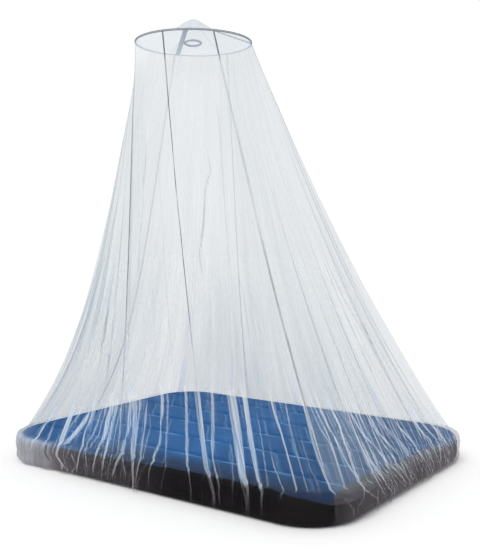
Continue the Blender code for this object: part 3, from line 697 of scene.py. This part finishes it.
# ---- material helpers ----------------------------------------------------
class Nodes:
    """Short calls for building a material's nodes."""

    def __init__(self, name):
        self.material = bpy.data.materials.new(name)
        self.material.use_nodes = True
        self.tree = self.material.node_tree
        self.shader = self.tree.nodes["Principled BSDF"]

    def add(self, kind, inputs=(), **settings):
        node = self.tree.nodes.new("ShaderNode" + kind)
        for key, value in settings.items():
            setattr(node, key, value)
        for key, value in dict(inputs).items():
            self.feed(node.inputs[key], value)
        return node

    def feed(self, socket, value):
        if isinstance(value, bpy.types.NodeSocket):
            self.tree.links.new(value, socket)
        else:
            socket.default_value = (*value, 1.0) if socket.type == "RGBA" else value

    def set(self, **inputs):
        for key, value in inputs.items():
            self.feed(self.shader.inputs[key.replace("_", " ")], value)

    def math(self, operation, first, second=0.0):
        return self.add("Math", {0: first, 1: second}, operation=operation).outputs[0]

    def times(self, product, *others):
        for other in others:
            product = self.math("MULTIPLY", product, other)
        return product

    def mapped(self, value, low, high, to_low=0.0, to_high=1.0):
        return self.add("MapRange", {
            "Value": value, "From Min": low, "From Max": high,
            "To Min": to_low, "To Max": to_high}).outputs[0]

    def blend(self, share, first, second):
        return self.add("Mix", {0: share, 6: first, 7: second},
                        data_type="RGBA").outputs[2]

    def mottled(self, noise, first, second):
        """Two tones mixed by the middle range of a noise."""
        return self.blend(self.mapped(noise, 0.3, 0.7), first, second)

    def layered(self, tone, *layers):
        """Further tones over a tone, each as its share and its colour."""
        for share, colour in layers:
            tone = self.blend(share, tone, colour)
        return tone

    def noise(self, place, scale, detail=2.0, rough=0.5):
        """Noise of a scale, which may differ along the three axes."""
        if isinstance(scale, tuple):
            place = self.add("Mapping", {"Vector": place, "Scale": scale}).outputs[0]
            scale = 1.0
        return self.add("TexNoise", {
            "Vector": place, "Scale": scale, "Detail": detail,
            "Roughness": rough}).outputs["Fac"]

    def weave(self, scale, distortion=0.0, direction="DIAGONAL", detail=2.0):
        return self.add("TexWave", {
            "Vector": self.cloth_map(), "Scale": scale, "Distortion": distortion,
            "Detail": detail}, bands_direction=direction).outputs["Fac"]

    def value(self, name):
        return self.add("Attribute", attribute_name=name).outputs["Fac"]

    def cloth_map(self):
        return self.add("UVMap", uv_map="cloth").outputs[0]

    def solid_place(self):
        return self.add("TexCoord").outputs["Object"]

    def axis(self, place, name):
        return self.add("SeparateXYZ", {0: place}).outputs[name]

    def cloth_shader(self, cover, tone, through):
        """Cloth that lets light through: open by 1 - cover, glowing by through."""
        glow = self.add("BsdfTranslucent", {"Color": tone}).outputs[0]
        solid = self.add("MixShader", {
            0: through, 1: self.shader.outputs[0], 2: glow}).outputs[0]
        open_part = self.add("BsdfTransparent").outputs[0]
        mixed = self.add("MixShader", {0: cover, 1: open_part, 2: solid})
        self.feed(self.tree.nodes["Material Output"].inputs["Surface"],
                  mixed.outputs[0])

    def made(self, tone, rough, bumps=None, **inputs):
        """The material, with bumps as their height, strength and distance."""
        if bumps is not None:
            names = ("Height", "Strength", "Distance")
            inputs["Normal"] = self.add("Bump", dict(zip(names, bumps))).outputs[0]
        self.set(Base_Color=tone, Roughness=rough, **inputs)
        return self.material


def net_material():
    n = Nodes("net")
    place = n.cloth_map()
    fine = n.noise(place, (60.0, 1.4, 1.0), 2.0, 0.6)
    streak = n.noise(place, (21.0, 1.0, 1.0), 2.0, 0.55)
    broad = n.noise(place, (6.0, 0.8, 1.0))
    fibre = n.noise(place, (190.0, 3.0, 1.0), 2.0, 0.6)
    threads = n.math("MAXIMUM", n.weave(260.0, 0.0, "X"), n.weave(260.0, 0.0, "Y"))
    creased = n.mapped(n.value("crease"), 0.0, 0.30)
    worked = n.times(n.mapped(fibre, 0.3, 0.7, -0.30, 0.30), creased)
    cover = n.times(n.value("opacity"), n.mapped(fine, 0.3, 0.7, 0.93, 1.07),
                    n.mapped(streak, 0.3, 0.7, 0.86, 1.14),
                    n.mapped(broad, 0.3, 0.7, 0.84, 1.16),
                    n.mapped(threads, 0.0, 1.0, 0.90, 1.05), n.math("ADD", worked, 1.0))
    # painted shade and light: in front of the mattress's dark side the net is painted duller and
    # greyer; its creases are painted blue low over the mattress, standing in for its blue light, and
    # whiter high up
    height, along = (n.axis(n.solid_place(), k) for k in ("Z", "X"))
    side = n.mapped(height, 0.105, 0.148, 1.0, 0.0)
    right = n.mapped(along, 0.45, 0.85)
    tone = n.mottled(streak, (0.44, 0.52, 0.56), (0.54, 0.62, 0.67))
    pleat = n.blend(n.mapped(fibre, 0.35, 0.65),
                    n.blend(right, (0.50, 0.69, 0.92), (0.68, 0.78, 0.93)),
                    n.blend(right, (0.80, 0.90, 0.99), (0.92, 0.95, 0.99)))
    pleat = n.layered(pleat, (n.mapped(n.value("crease"), 0.62, 0.92), (0.90, 0.94, 0.95)),
                      (n.mapped(height, 0.28, 0.38), (0.85, 0.89, 0.92)),
                      (side, (0.58, 0.58, 0.64)))
    # the dark pleats' tone, last below, is painted shade in their folds
    tone = n.layered(tone, (side, (0.49, 0.45, 0.50)), (creased, pleat),
                     (n.mapped(n.value("dark"), 0.0, 0.25), (0.16, 0.18, 0.22)))
    n.cloth_shader(n.math("MINIMUM", cover, 0.95), tone, 0.35)
    return n.made(tone, 0.75, (threads, 0.25, 0.0006), Specular_IOR_Level=0.25)


def tape_material():
    """The outer side of a seam tape, less of it kept lower down, with painted shade: dark high up and
    near black at the foot.
    """
    n = Nodes("seam tape")
    weave = n.weave(150.0, 0.4)
    place = n.solid_place()
    height = n.axis(place, "Z")
    worn = n.noise(place, (3.0, 3.0, 5.0))
    # painted shade by height: dark from about 0.45 m up, paler blue-grey over the mattress, near black
    # below 0.16 m
    tone = n.layered((0.40, 0.50, 0.60),
                     (n.mapped(height, 0.22, 0.45), (0.11, 0.12, 0.15)),
                     (n.mapped(weave, 0.0, 1.0, 0.0, 0.25), (0.55, 0.58, 0.64)),
                     (n.mapped(height, 0.12, 0.16, 1.0, 0.0), (0.05, 0.05, 0.06)))
    cover = n.times(n.value("kept"), n.mapped(worn, 0.38, 0.58, 0.85, 1.15))
    return n.made(tone, 0.85, (weave, 0.4, 0.0006), Alpha=n.math("MINIMUM", cover, 0.96))


def lining_material():
    """The pale inner side of a seam tape."""
    n = Nodes("seam lining")
    height = n.axis(n.solid_place(), "Z")
    tone = n.blend(n.weave(150.0, 0.4), (0.88, 0.92, 0.94), (0.94, 0.96, 0.97))
    return n.made(tone, 0.85, Alpha=n.mapped(height, 0.15, 0.40, 0.0, 0.88))


def binding_material(name, dark, light, scale, inner=None):
    """Woven binding, with another tone on the inner side of a hoop if inner is given."""
    n = Nodes(name)
    weave = n.weave(scale, 0.6, detail=1.0)
    worn = n.noise(n.solid_place(), 14.0, 3.0)
    tone = n.blend(n.times(weave, n.mapped(worn, 0.3, 0.7, 0.5, 1.0)), dark, light)
    if inner is not None:
        about = n.axis(n.cloth_map(), "Y")
        facing = n.math("COSINE", n.math("DIVIDE", about, HOOP_WRAP))
        tone = n.blend(n.mapped(facing, -0.3, 0.3), inner, tone)
    return n.made(tone, 0.8, (weave, 0.5, 0.0008))


def webbing_material():
    """Pale webbing, with painted shade greying it toward the near end of the strap."""
    n = Nodes("webbing")
    weave = n.weave(80.0, 0.6, detail=1.0)
    near = n.mapped(n.axis(n.cloth_map(), "X"), 0.0, 0.56)
    # painted shade: greyer toward the strap's near end
    tone = n.layered((0.66, 0.71, 0.75), (near, (0.38, 0.42, 0.46)),
                     (n.mapped(weave, 0.0, 1.0, 0.0, 0.35), (0.62, 0.66, 0.72)))
    return n.made(tone, 0.8, (weave, 0.5, 0.0008))


def cap_material():
    n = Nodes("cap cloth")
    cloth = n.noise(n.cloth_map(), (70.0, 70.0, 1.0), 4.0, 0.6)
    seam = n.value("seam")
    tone = n.mottled(cloth, (0.71, 0.77, 0.81), (0.81, 0.86, 0.90))
    tone = n.blend(n.times(seam, 0.35), tone, (0.36, 0.41, 0.48))
    n.cloth_shader(n.mapped(seam, 0.0, 1.0, 0.62, 0.74), tone, 0.55)
    return n.made(tone, 0.7, (n.weave(240.0, 0.3, "X"), 0.2, 0.0005))


def flock_material():
    """Blue flock, with painted shade in the quilt's dips, toward +X, on the near side and along the
    rolled near edge.
    """
    n = Nodes("flocked vinyl")
    place = n.solid_place()
    pile = n.noise(place, 420.0, 2.0, 0.6)
    patch = n.noise(place, 7.0, 4.0, 0.6)
    along, side = n.axis(place, "X"), n.axis(place, "Y")
    # painted shade along the rolled-over near edge, patchy
    rolled_shade = n.math("ADD", side, n.mapped(patch, 0.3, 0.7, -0.035, 0.035))
    rolled_shade = n.times(n.mapped(rolled_shade, -0.69, -0.50, 0.90, 0.0), n.mapped(along, -0.55, -0.10))
    stitched = n.times(n.value("seam"), n.mapped(side, -0.60, -0.36, 0.35, 0.85))
    # painted shade: in the quilt's dips, toward the near side and toward +X
    tone = n.layered(n.mottled(patch, (0.009, 0.085, 0.250), (0.016, 0.115, 0.330)),
                     (n.mapped(n.value("hollow"), 0.15, 1.0, 0.0, 0.42), (0.002, 0.032, 0.120)),
                     (n.mapped(side, -0.74, -0.40, 0.34, 0.0), (0.002, 0.030, 0.100)),
                     (n.mapped(along, 0.10, 0.60, 0.0, 0.62), (0.004, 0.036, 0.108)),
                     (rolled_shade, (0.006, 0.012, 0.034)), (stitched, (0.15, 0.36, 0.64)),
                     (n.value("wall"), (0.030, 0.022, 0.028)))
    return n.made(tone, 0.9, (pile, 0.35, 0.001), Specular_IOR_Level=0.2, Sheen_Weight=0.16,
                  Sheen_Roughness=0.4, Sheen_Tint=(0.30, 0.55, 1.0))


def vinyl_material():
    n = Nodes("side vinyl")
    place = n.solid_place()
    grain = n.noise(place, 520.0, 2.0, 0.6)
    patch = n.noise(place, 5.0, 3.0, 0.5)
    tone = n.mottled(patch, (0.0022, 0.0018, 0.0021), (0.0050, 0.0042, 0.0046))
    return n.made(tone, n.mapped(grain, 0.3, 0.7, 0.50, 0.62), (grain, 0.12, 0.0005),
                  Specular_IOR_Level=0.03)


BINDING = binding_material("hoop binding", (0.17, 0.17, 0.20), (0.32, 0.33, 0.37), 55.0,
                           inner=(0.80, 0.84, 0.87))
RING_BINDING = binding_material("ring binding", (0.38, 0.41, 0.45), (0.54, 0.58, 0.63),
                                80.0)


# ---- net pieces ----------------------------------------------------------
NET_COLUMNS = (210, 230, 330, 300, 280, 420)
HIGH_ROWS, LOW_ROWS, SKIRT_ROWS = 66, 84, 34
DENSER = 0.64                # v below which the rows are closer
NET_V = np.concatenate([np.linspace(0.0, DENSER, HIGH_ROWS + 1),
                        np.linspace(DENSER, 1.0, LOW_ROWS + 1)[1:],
                        1.0 + np.linspace(0.0, 1.0, SKIRT_ROWS + 1)[1:]])
SLANT = 2.08                 # length of the net from hoop to rim, for its map


def net_map(u, v):
    """Cloth map: distance round the hem and down the net, in metres."""
    _, round_hem, _, _ = guided(u)
    return round_hem, np.where(v < 1.0, v * SLANT, SLANT + (v - 1.0) * SKIRT_LENGTH)


NET = net_material()


def make_net(index):
    u, v = np.meshgrid(np.linspace(index, index + 1.0, NET_COLUMNS[index] + 1), NET_V)
    inside = np.clip(u, index + 1e-6, index + 1.0 - 1e-6)
    points, opacity, cloud, dark = net_skin(inside, v)
    return mesh_piece("net_sheet_%d" % (index + 1), points, grid_faces(*u.shape), [NET],
                      "net_panel_%d" % (index + 1), "net", cloth=net_map(u, v),
                      opacity=opacity, crease=cloud, dark=dark)


# How much of a seam tape's dark side is left, down the net, for each tape.
TAPE_KEPT = (
    ((0.0, 0.95), (0.06, 0.78), (0.60, 0.74), (0.75, 0.36), (1.0, 0.30)),
    ((0.0, 0.95), (0.05, 0.90), (0.07, 0.34), (0.13, 0.36), (0.17, 0.74), (0.68, 0.78),
     (0.75, 0.26), (1.0, 0.30)),
    ((0.0, 0.95), (0.05, 0.82), (0.08, 0.18), (0.46, 0.18), (0.60, 0.38), (0.86, 0.42),
     (0.95, 0.26), (1.0, 0.22)),
    ((0.0, 0.70), (0.06, 0.32), (0.80, 0.30), (1.0, 0.26)),
    ((0.0, 0.70), (0.06, 0.24), (0.80, 0.24), (1.0, 0.26)),
    ((0.0, 0.70), (0.06, 0.22), (0.80, 0.22), (1.0, 0.26)),
)
SKIRT_TAPE_KEPT = 0.12
# Section of a tape: share of its width across, and height over the net in metres.
TAPE_SECTION = ((-0.5, 0.0003), (-0.28, 0.0012), (0.0, 0.0016), (0.28, 0.0012),
                (0.5, 0.0003), (0.2, -0.0006), (-0.2, -0.0006))
TAPE_OUTER = 4               # faces of the section that show its dark side
TAPE, LINING = tape_material(), lining_material()


def make_tape(index):
    ways, lifts = (np.array(k) for k in zip(*TAPE_SECTION))
    u = index + ways * TAPE_WIDTH / panel_metres(index, NET_V, 0.008)[:, None]
    v = np.repeat(NET_V[:, None], len(ways), axis=1)
    points = net_skin(u, v)[0] + net_normal(u, v) * lifts[:, None]
    points[..., 2] = np.maximum(points[..., 2], LOWEST)
    faces = grid_faces(*u.shape, closed=True)
    kept = np.interp(v, *zip(*TAPE_KEPT[index]))
    kept = kept + (SKIRT_TAPE_KEPT - kept) * ease(v, 0.97, 1.06)
    return mesh_piece("seam_strip_%d" % (index + 1), points, faces, [TAPE, LINING],
                      "seam_tape_%d" % (index + 1), "binding",
                      [int(k % len(ways) >= TAPE_OUTER) for k in range(len(faces))],
                      cloth=(ways * TAPE_WIDTH + 0.0 * u, net_map(u, v)[1]), kept=kept)


# Flat cut of each gore: width at the hem, length, and area.
NET_CUTS = (
    (0.86, 2.30, 1.16), (0.98, 2.30, 1.28), (1.55, 2.32, 2.02),
    (1.90, 2.36, 2.48), (1.80, 2.36, 2.30), (2.10, 2.36, 2.62),
)
tapes = [make_tape(index) for index in range(PANELS)]
for index, (wide, long, area) in enumerate(NET_CUTS):
    gore = make_net(index)


# ---- hoop, cap, strap and ring -------------------------------------------
WRAP_TURNS, WRAP_STEP = 96.0, 0.08       # of the binding tape round the hoop
CAP_PUCKERS = ((11.0, 0.1, 0.4), (17.0, 0.45, 0.35), (29.0, 0.8, 0.25))
PUCKER_DEEP, CAP_SEAM_DEEP, CAP_SEAM_HALF, CAP_SEAT = 0.0022, 0.0012, 0.006, 0.001
SIDE_TAPE_DEGREES = 328.0, 396.0
SIDE_TAPE_WIDTH, SIDE_TAPE_THICK = 0.005, 0.0012
GAP = 0.0003                 # left between parts that touch


def hoop_point(degrees, radius):
    """A point at an angle round the hoop's middle, as an offset from it."""
    angle = math.radians(degrees)
    return radius * np.array([math.cos(angle), math.sin(angle), 0.0])


def make_torus(name, centre, radius, tube, steps, sides, finish, replaced, slot,
               turn=None, swell=0.0):
    """A ring whose tube may swell along a binding wound round it."""
    around = np.linspace(0.0, 2.0 * np.pi, steps, endpoint=False)[None, :]
    about = np.linspace(0.0, 2.0 * np.pi, sides, endpoint=False)[:, None]
    wound = (around / (2.0 * np.pi) * WRAP_TURNS + about / (2.0 * np.pi)) % 1.0
    thick = tube * (1.0 + swell * wound)
    reach = radius + thick * np.cos(about)
    points = columns(reach * np.cos(around), reach * np.sin(around),
                     thick * np.sin(about))
    if turn is not None:
        points = points @ np.array(turn).T
    mesh_piece(name, points + centre, grid_faces(sides, steps, closed=True, ring=True),
               [finish], replaced, slot,
               cloth=np.broadcast_arrays(radius * around, tube * about))


make_torus("hoop_wrap", HOOP_CENTRE, HOOP_RADIUS, HOOP_WRAP, 960, 16, BINDING, "hoop",
           "binding", swell=WRAP_STEP)


def cap_height(radius, degrees):
    share = radius / HOOP_RADIUS
    slope = (np.hypot(share, CAP_ROUND) - CAP_ROUND) / (math.hypot(1.0, CAP_ROUND)
                                                       - CAP_ROUND)
    gore = 0.5 - 0.5 * np.cos(np.radians(PANELS * (degrees - GUIDES[0].hoop_deg)))
    sag = CAP_SAG * gore * 4.0 * share * (1.0 - share)
    return CAP_RISE * np.clip(1.0 - slope, 0.0, 1.0) ** CAP_HOLLOW - sag


def make_cap():
    radii = np.concatenate([np.linspace(1.0, 0.04, 62), [0.012]]) * HOOP_RADIUS
    radius, turned = np.meshgrid(radii, np.linspace(0.0, 360.0, 361)[:-1], indexing="ij")
    share = radius / HOOP_RADIUS
    angle = np.radians(turned)
    pucker = wave(turned / 360.0, *CAP_PUCKERS)
    pucker = pucker * (bump(share - 0.16, 0.20) + 0.5 * bump(share - 0.9, 0.12))
    off = wrapped(turned - GUIDES[0].hoop_deg, 360.0 / PANELS)
    seam = bump(np.radians(off) * radius, CAP_SEAM_HALF)
    height = cap_height(radius, turned) + PUCKER_DEEP * pucker + CAP_SEAM_DEEP * seam
    points = HOOP_CENTRE + columns(radius * np.cos(angle), radius * np.sin(angle),
                                   HOOP_SEAT + CAP_SEAT + height)
    rows, across = radius.shape
    flat = points.reshape(-1, 3)
    tip = [*HOOP_CENTRE[:2], flat[-across:, 2].mean() + 0.0002]
    last = (rows - 1) * across
    faces = grid_faces(rows, across, closed=True)
    faces += [(last + k, last + (k + 1) % across, rows * across) for k in range(across)]
    flat = np.vstack([flat, tip])
    return mesh_piece("cap_sheet", flat, faces, [cap_material()], "cap", "cap_cloth",
                      cloth=(flat[:, 0], flat[:, 1]), seam=np.append(seam.ravel(), 0.6))


def strap_line():
    """Ends of the strap on the inside of the hoop, and its sideways direction."""
    near, far = (hoop_point(k, 1.0) for k in (STRAP_NEAR_DEG, STRAP_FAR_DEG))
    along = unit(near - far)
    beside = np.array([-along[1], along[0], 0.0])
    middle = beside @ (near * HOOP_RADIUS)
    inside = HOOP_RADIUS - HOOP_TUBE - 2.0 * GAP
    reach = math.sqrt(inside ** 2 - (abs(middle) + 0.5 * STRAP_WIDTH) ** 2)
    foot = HOOP_CENTRE + beside * middle
    return foot - along * reach, foot + along * reach, beside


# Section of a band, as shares of its width and of its thickness.
BAND_SECTION = ((-0.50, 0.0), (-0.47, 0.42), (-0.2, 0.5), (0.2, 0.5), (0.47, 0.42),
                (0.50, 0.0), (0.47, -0.42), (0.2, -0.5), (-0.2, -0.5), (-0.47, -0.42))


def band(name, start, end, steps, beside, width, thick, finish, replaced):
    """A straight flat band with soft edges. Its width lies along beside."""
    line = start + (end - start) * np.linspace(0.0, 1.0, steps)[:, None]
    face = unit(np.cross(end - start, beside))
    wide, high = (np.array(k) for k in zip(*BAND_SECTION))
    rings = (line[:, None] + beside * (wide * width)[:, None]
             + face * (high * thick)[:, None])
    across = len(wide)
    faces = grid_faces(steps, across, closed=True)
    faces += [range(across)[::-1], range((steps - 1) * across, steps * across)]
    run = np.linspace(0.0, np.linalg.norm(end - start), steps)[:, None]
    mesh_piece(name, rings, faces, [finish], replaced, "webbing",
               cloth=np.broadcast_arrays(run, wide * width))


strap_start, strap_end, strap_beside = strap_line()
band("strap_band", strap_start, strap_end, 61, strap_beside, STRAP_WIDTH, STRAP_THICK,
     webbing_material(), "cross_strap")
strap_foot = 0.5 * (strap_start + strap_end)
ring_inward = strap_beside * np.sign(strap_beside @ (HOOP_CENTRE - strap_foot))
ring_centre = strap_foot + ring_inward * (0.5 * STRAP_WIDTH + GAP + RING_RADIUS + RING_TUBE)
make_torus("ring_bound", ring_centre, RING_RADIUS, RING_TUBE, 192, 20, RING_BINDING,
           "centre_ring", "webbing",
           turn=Matrix.Rotation(math.radians(RING_TILT_DEG), 3, Vector(ring_inward)))
band("side_tape", *(HOOP_CENTRE + hoop_point(k, HOOP_RADIUS - HOOP_TUBE)
                    for k in SIDE_TAPE_DEGREES),
     31, np.array([0.0, 0.0, 1.0]), SIDE_TAPE_WIDTH, SIDE_TAPE_THICK, RING_BINDING, None)

cap_piece = make_cap()


# ---- mattress ------------------------------------------------------------
QUILT_ROWS = (0.551, 0.289, 0.027, -0.235, -0.497)
QUILT_LEAN = 0.80            # x given up by a cross line for each metre of y
QUILT_PITCH, QUILT_FIRST = 0.262, -0.065
QUILT_DEEP, QUILT_HALF, CROSS_SHARE = 0.012, 0.040, 0.7
QUILT_SWAY, QUILT_BEND = 0.006, 0.011
ROW_WELD, CROSS_WELD = 0.010, 0.007      # half widths of the weld lines
# How far inside the right edge the flock ends, by y.
SIDE_INSET = ((-0.74, -0.02), (-0.66, 0.0), (-0.56, 0.045), (-0.46, 0.068),
              (-0.34, 0.066), (-0.15, 0.052), (0.05, 0.036), (0.30, 0.018),
              (0.55, -0.02))
# Height at which it ends on the rim, by run.
FLOCK_EDGE = ((0.0, 0.112), (0.8, 0.124), (1.25, 0.136), (1.62, 0.136),
              (1.78, 0.118), (1.88, 0.094), (2.25, 0.096), (3.1, 0.104),
              (4.5, 0.12), (6.0, 0.12), (OUTLINE_RUN, 0.112))
TOP_COLUMNS, TOP_ROWS = 240, 184
TOP_CORNER = BED_CORNER - BED_TOP_ROUND
# Height, and distance inside the outline, of the rings from the top to the foot.
RIM_LEVELS = [(BED_HEIGHT - BED_TOP_ROUND * (1.0 - np.cos(k)),
               BED_TOP_ROUND * (1.0 - np.sin(k))) for k in 0.5 * np.pi * np.arange(1, 13) / 12]
RIM_LEVELS += [(k, 0.0) for k in (0.090, 0.084, 0.078, 0.070, 0.062, 0.054, 0.048)]
RIM_LEVELS += [(BED_FOOT_ROUND * (1.0 - np.sin(k)), BED_FOOT_ROUND * (1.0 - np.cos(k)))
               for k in 0.5 * np.pi * np.arange(12) / 11]
WELD_HEIGHTS, WELD_DEEP, WELD_HALF = (0.108, 0.030), 0.004, 0.004
INSET_SOFT, INSET_SWAY, INSET_WAVES = 0.010, 0.004, 31.0
BARE_FROM_X = 0.6
PUFF_DEEP, PUFF_PITCH = 0.0025, 0.131


def quilt(x, y):
    """(how deep the quilting lies, how close the nearest weld line is, and the share of the quilt's
    dip, for the flock's painted shade).
    """
    down = (y - QUILT_ROWS[2]) / QUILT_PITCH
    cross = x + QUILT_LEAN * y - QUILT_FIRST + 0.5 * QUILT_PITCH * (np.floor(down) % 2)
    cross = cross + QUILT_SWAY * np.sin(2.0 * np.pi * down)
    cross_off = np.abs(wrapped(cross, QUILT_PITCH)) / math.hypot(1.0, QUILT_LEAN)
    bend = QUILT_BEND * np.abs(np.sin(np.pi * cross / QUILT_PITCH)) - QUILT_SWAY
    row_off = np.min([np.abs(y + bend - row) for row in QUILT_ROWS], axis=0)
    dip, weld = (np.maximum(bump(row_off, a), CROSS_SHARE * bump(cross_off, b))
                 for a, b in ((QUILT_HALF, QUILT_HALF), (ROW_WELD, CROSS_WELD)))
    return QUILT_DEEP * dip, weld, dip


def edge_gap(x, y):
    """How far points of the top lie inside the widest outline, in plan."""
    over = columns(np.abs(x) - 0.5 * STRAIGHT_X, np.abs(y) - 0.5 * STRAIGHT_Y)
    beyond = np.hypot(*np.maximum(over, 0.0).transpose(2, 0, 1))
    return BED_CORNER - beyond - np.minimum(over.max(-1), 0.0)


def bare_wall(x, y, inside):
    """Share by which the right side's wall shows at a distance inside the outline."""
    ends = np.interp(y, *zip(*SIDE_INSET)) + INSET_SWAY * np.sin(INSET_WAVES * y)
    covered = ease(inside, ends - INSET_SOFT, ends + INSET_SOFT)
    return (1.0 - covered) * (x > BARE_FROM_X)


def border(t, straight, reach):
    """A point of the top's border over one side: t from -1 to 1 along it."""
    half_arc = 0.25 * np.pi * TOP_CORNER
    s = np.abs(t) * (straight + half_arc)
    over = np.clip((s - straight) / half_arc, 0.0, 1.0) * 0.25 * np.pi
    along = np.minimum(s, straight) + TOP_CORNER * np.sin(over)
    return np.sign(t) * along, reach + TOP_CORNER * np.cos(over)


def rim_runs(plan):
    """Run of the outline at which each point of the top's border lies."""
    nearest = np.linspace(0.0, OUTLINE_RUN, 6401)[:-1]
    dense, normal = outline(nearest)
    dense = dense - normal * BED_TOP_ROUND
    return nearest[np.argmin(((plan[:, None] - dense[None]) ** 2).sum(-1), axis=1)]


def make_mattress():
    # top: a square grid pressed into the rounded outline
    a, b = np.meshgrid(*(np.linspace(-1, 1, k + 1) for k in (TOP_COLUMNS, TOP_ROWS)))
    far = np.maximum(np.abs(a), np.abs(b))
    safe = np.maximum(far, 1e-9)
    long_side = np.abs(b) >= np.abs(a)
    along_x, out_y = border(a / safe, 0.5 * STRAIGHT_X, 0.5 * STRAIGHT_Y)
    along_y, out_x = border(b / safe, 0.5 * STRAIGHT_Y, 0.5 * STRAIGHT_X)
    x = far * np.where(long_side, along_x, np.sign(a) * out_x)
    y = far * np.where(long_side, np.sign(b) * out_y, along_y)
    dip, seam, hollow = quilt(x, y)
    calm = ease(1.0 - far, 0.0, 0.05)
    points = [columns(x, y, BED_HEIGHT - dip * calm).reshape(-1, 3)]
    walls = [bare_wall(x, y, edge_gap(x, y)).ravel()]
    faces = grid_faces(*x.shape)
    picks = [0] * len(faces)

    # rim: rings from the border of the top down to the foot
    ids = np.arange(x.size).reshape(x.shape)
    last = np.concatenate([ids[0, :], ids[1:, -1], ids[-1, -2::-1], ids[-2:0:-1, 0]])
    count = len(last)
    run = rim_runs(points[0][last, :2])
    edge, normal = outline(run)
    flock_edge = np.interp(run % OUTLINE_RUN, *zip(*FLOCK_EDGE))
    puff = PUFF_DEEP * (0.5 - 0.5 * np.cos(2.0 * np.pi * run / PUFF_PITCH))
    following = np.roll(np.arange(count), -1)
    for level, (height, back) in enumerate(RIM_LEVELS):
        mid = math.sin(math.pi * np.clip(height / BED_HEIGHT, 0.0, 1.0)) ** 2
        weld = sum(WELD_DEEP * math.exp(-((height - k) / WELD_HALF) ** 2)
                   for k in WELD_HEIGHTS)
        ring = edge - normal * (back + puff * mid + weld)[:, None]
        points.append(columns(ring[:, 0], ring[:, 1], height))
        walls.append(bare_wall(edge[:, 0], edge[:, 1], back))
        here = x.size + level * count + np.arange(count)
        faces += columns(last, here, here[following], last[following]).tolist()
        picks += np.where(height > flock_edge, 0, 1).tolist()
        last = here
    faces.append(last[::-1].tolist())
    picks.append(1)
    seam, hollow = (np.pad((k * calm).ravel(), (0, count * len(RIM_LEVELS)))
                    for k in (seam, hollow))
    return mesh_piece("air_mattress", np.vstack(points), faces,
                      [flock_material(), vinyl_material()], "mattress", "flocked_vinyl",
                      picks, seam=seam, hollow=hollow, wall=np.concatenate(walls))


make_mattress()


# ---- floor, lights and camera --------------------------------------------
FLOOR_REACH, FLOOR_DROP, FLOOR_TONE = 30.0, -0.0005, (0.88, 0.88, 0.88)
SKY_LIGHT, SKY_SEEN = 0.72, 1.01
SUN_STRENGTH, SUN_WIDE_DEG = 1.7, 46.0
SUN_HEADING = -0.12, 0.50, -0.86


def stage_floor():
    mesh = bpy.data.meshes.new("floor")
    corners = ((-1, -1), (1, -1), (1, 1), (-1, 1))
    mesh.from_pydata([(FLOOR_REACH * x, FLOOR_REACH * y, FLOOR_DROP) for x, y in corners],
                     [], [(0, 1, 2, 3)])
    floor = bpy.data.objects.new("floor", mesh)
    bpy.context.scene.collection.objects.link(floor)
    mesh.materials.append(Nodes("pale floor").made(FLOOR_TONE, 0.9, Specular_IOR_Level=0.1))


def aimed(name, data, heading):
    """A light or the camera, looking along a heading."""
    made = bpy.data.objects.new(name, data)
    made.rotation_euler = Vector(heading).to_track_quat("-Z", "Y").to_euler()
    bpy.context.scene.collection.objects.link(made)
    return made


def lights():
    world = bpy.data.worlds.new("studio")
    world.use_nodes = True
    nodes, links = world.node_tree.nodes, world.node_tree.links
    nodes["Background"].inputs["Color"].default_value = (1.0, 1.0, 1.0, 1.0)
    strength = nodes.new("ShaderNodeMapRange")
    strength.inputs["To Min"].default_value = SKY_LIGHT
    strength.inputs["To Max"].default_value = SKY_SEEN
    links.new(nodes.new("ShaderNodeLightPath").outputs["Is Camera Ray"],
              strength.inputs["Value"])
    links.new(strength.outputs[0], nodes["Background"].inputs["Strength"])
    bpy.context.scene.world = world
    sun = bpy.data.lights.new("key", "SUN")
    sun.energy, sun.angle = SUN_STRENGTH, math.radians(SUN_WIDE_DEG)
    aimed("key", sun, SUN_HEADING)


def camera():
    data = bpy.data.cameras.new("camera")
    data.sensor_fit, data.sensor_height = "VERTICAL", 36.0
    data.lens = FOCAL_PX / PICTURE_HIGH * data.sensor_height
    made = aimed("camera", data, (*(CAMERA_HEADING * math.cos(CAMERA_PITCH)),
                                  -math.sin(CAMERA_PITCH)))
    made.location = CAMERA_PLACE
    bpy.context.scene.camera = made


stage_floor()
lights()
camera()
bpy.context.scene.view_settings.view_transform = "Standard"
bpy.context.scene.cycles.transparent_max_bounces = 32
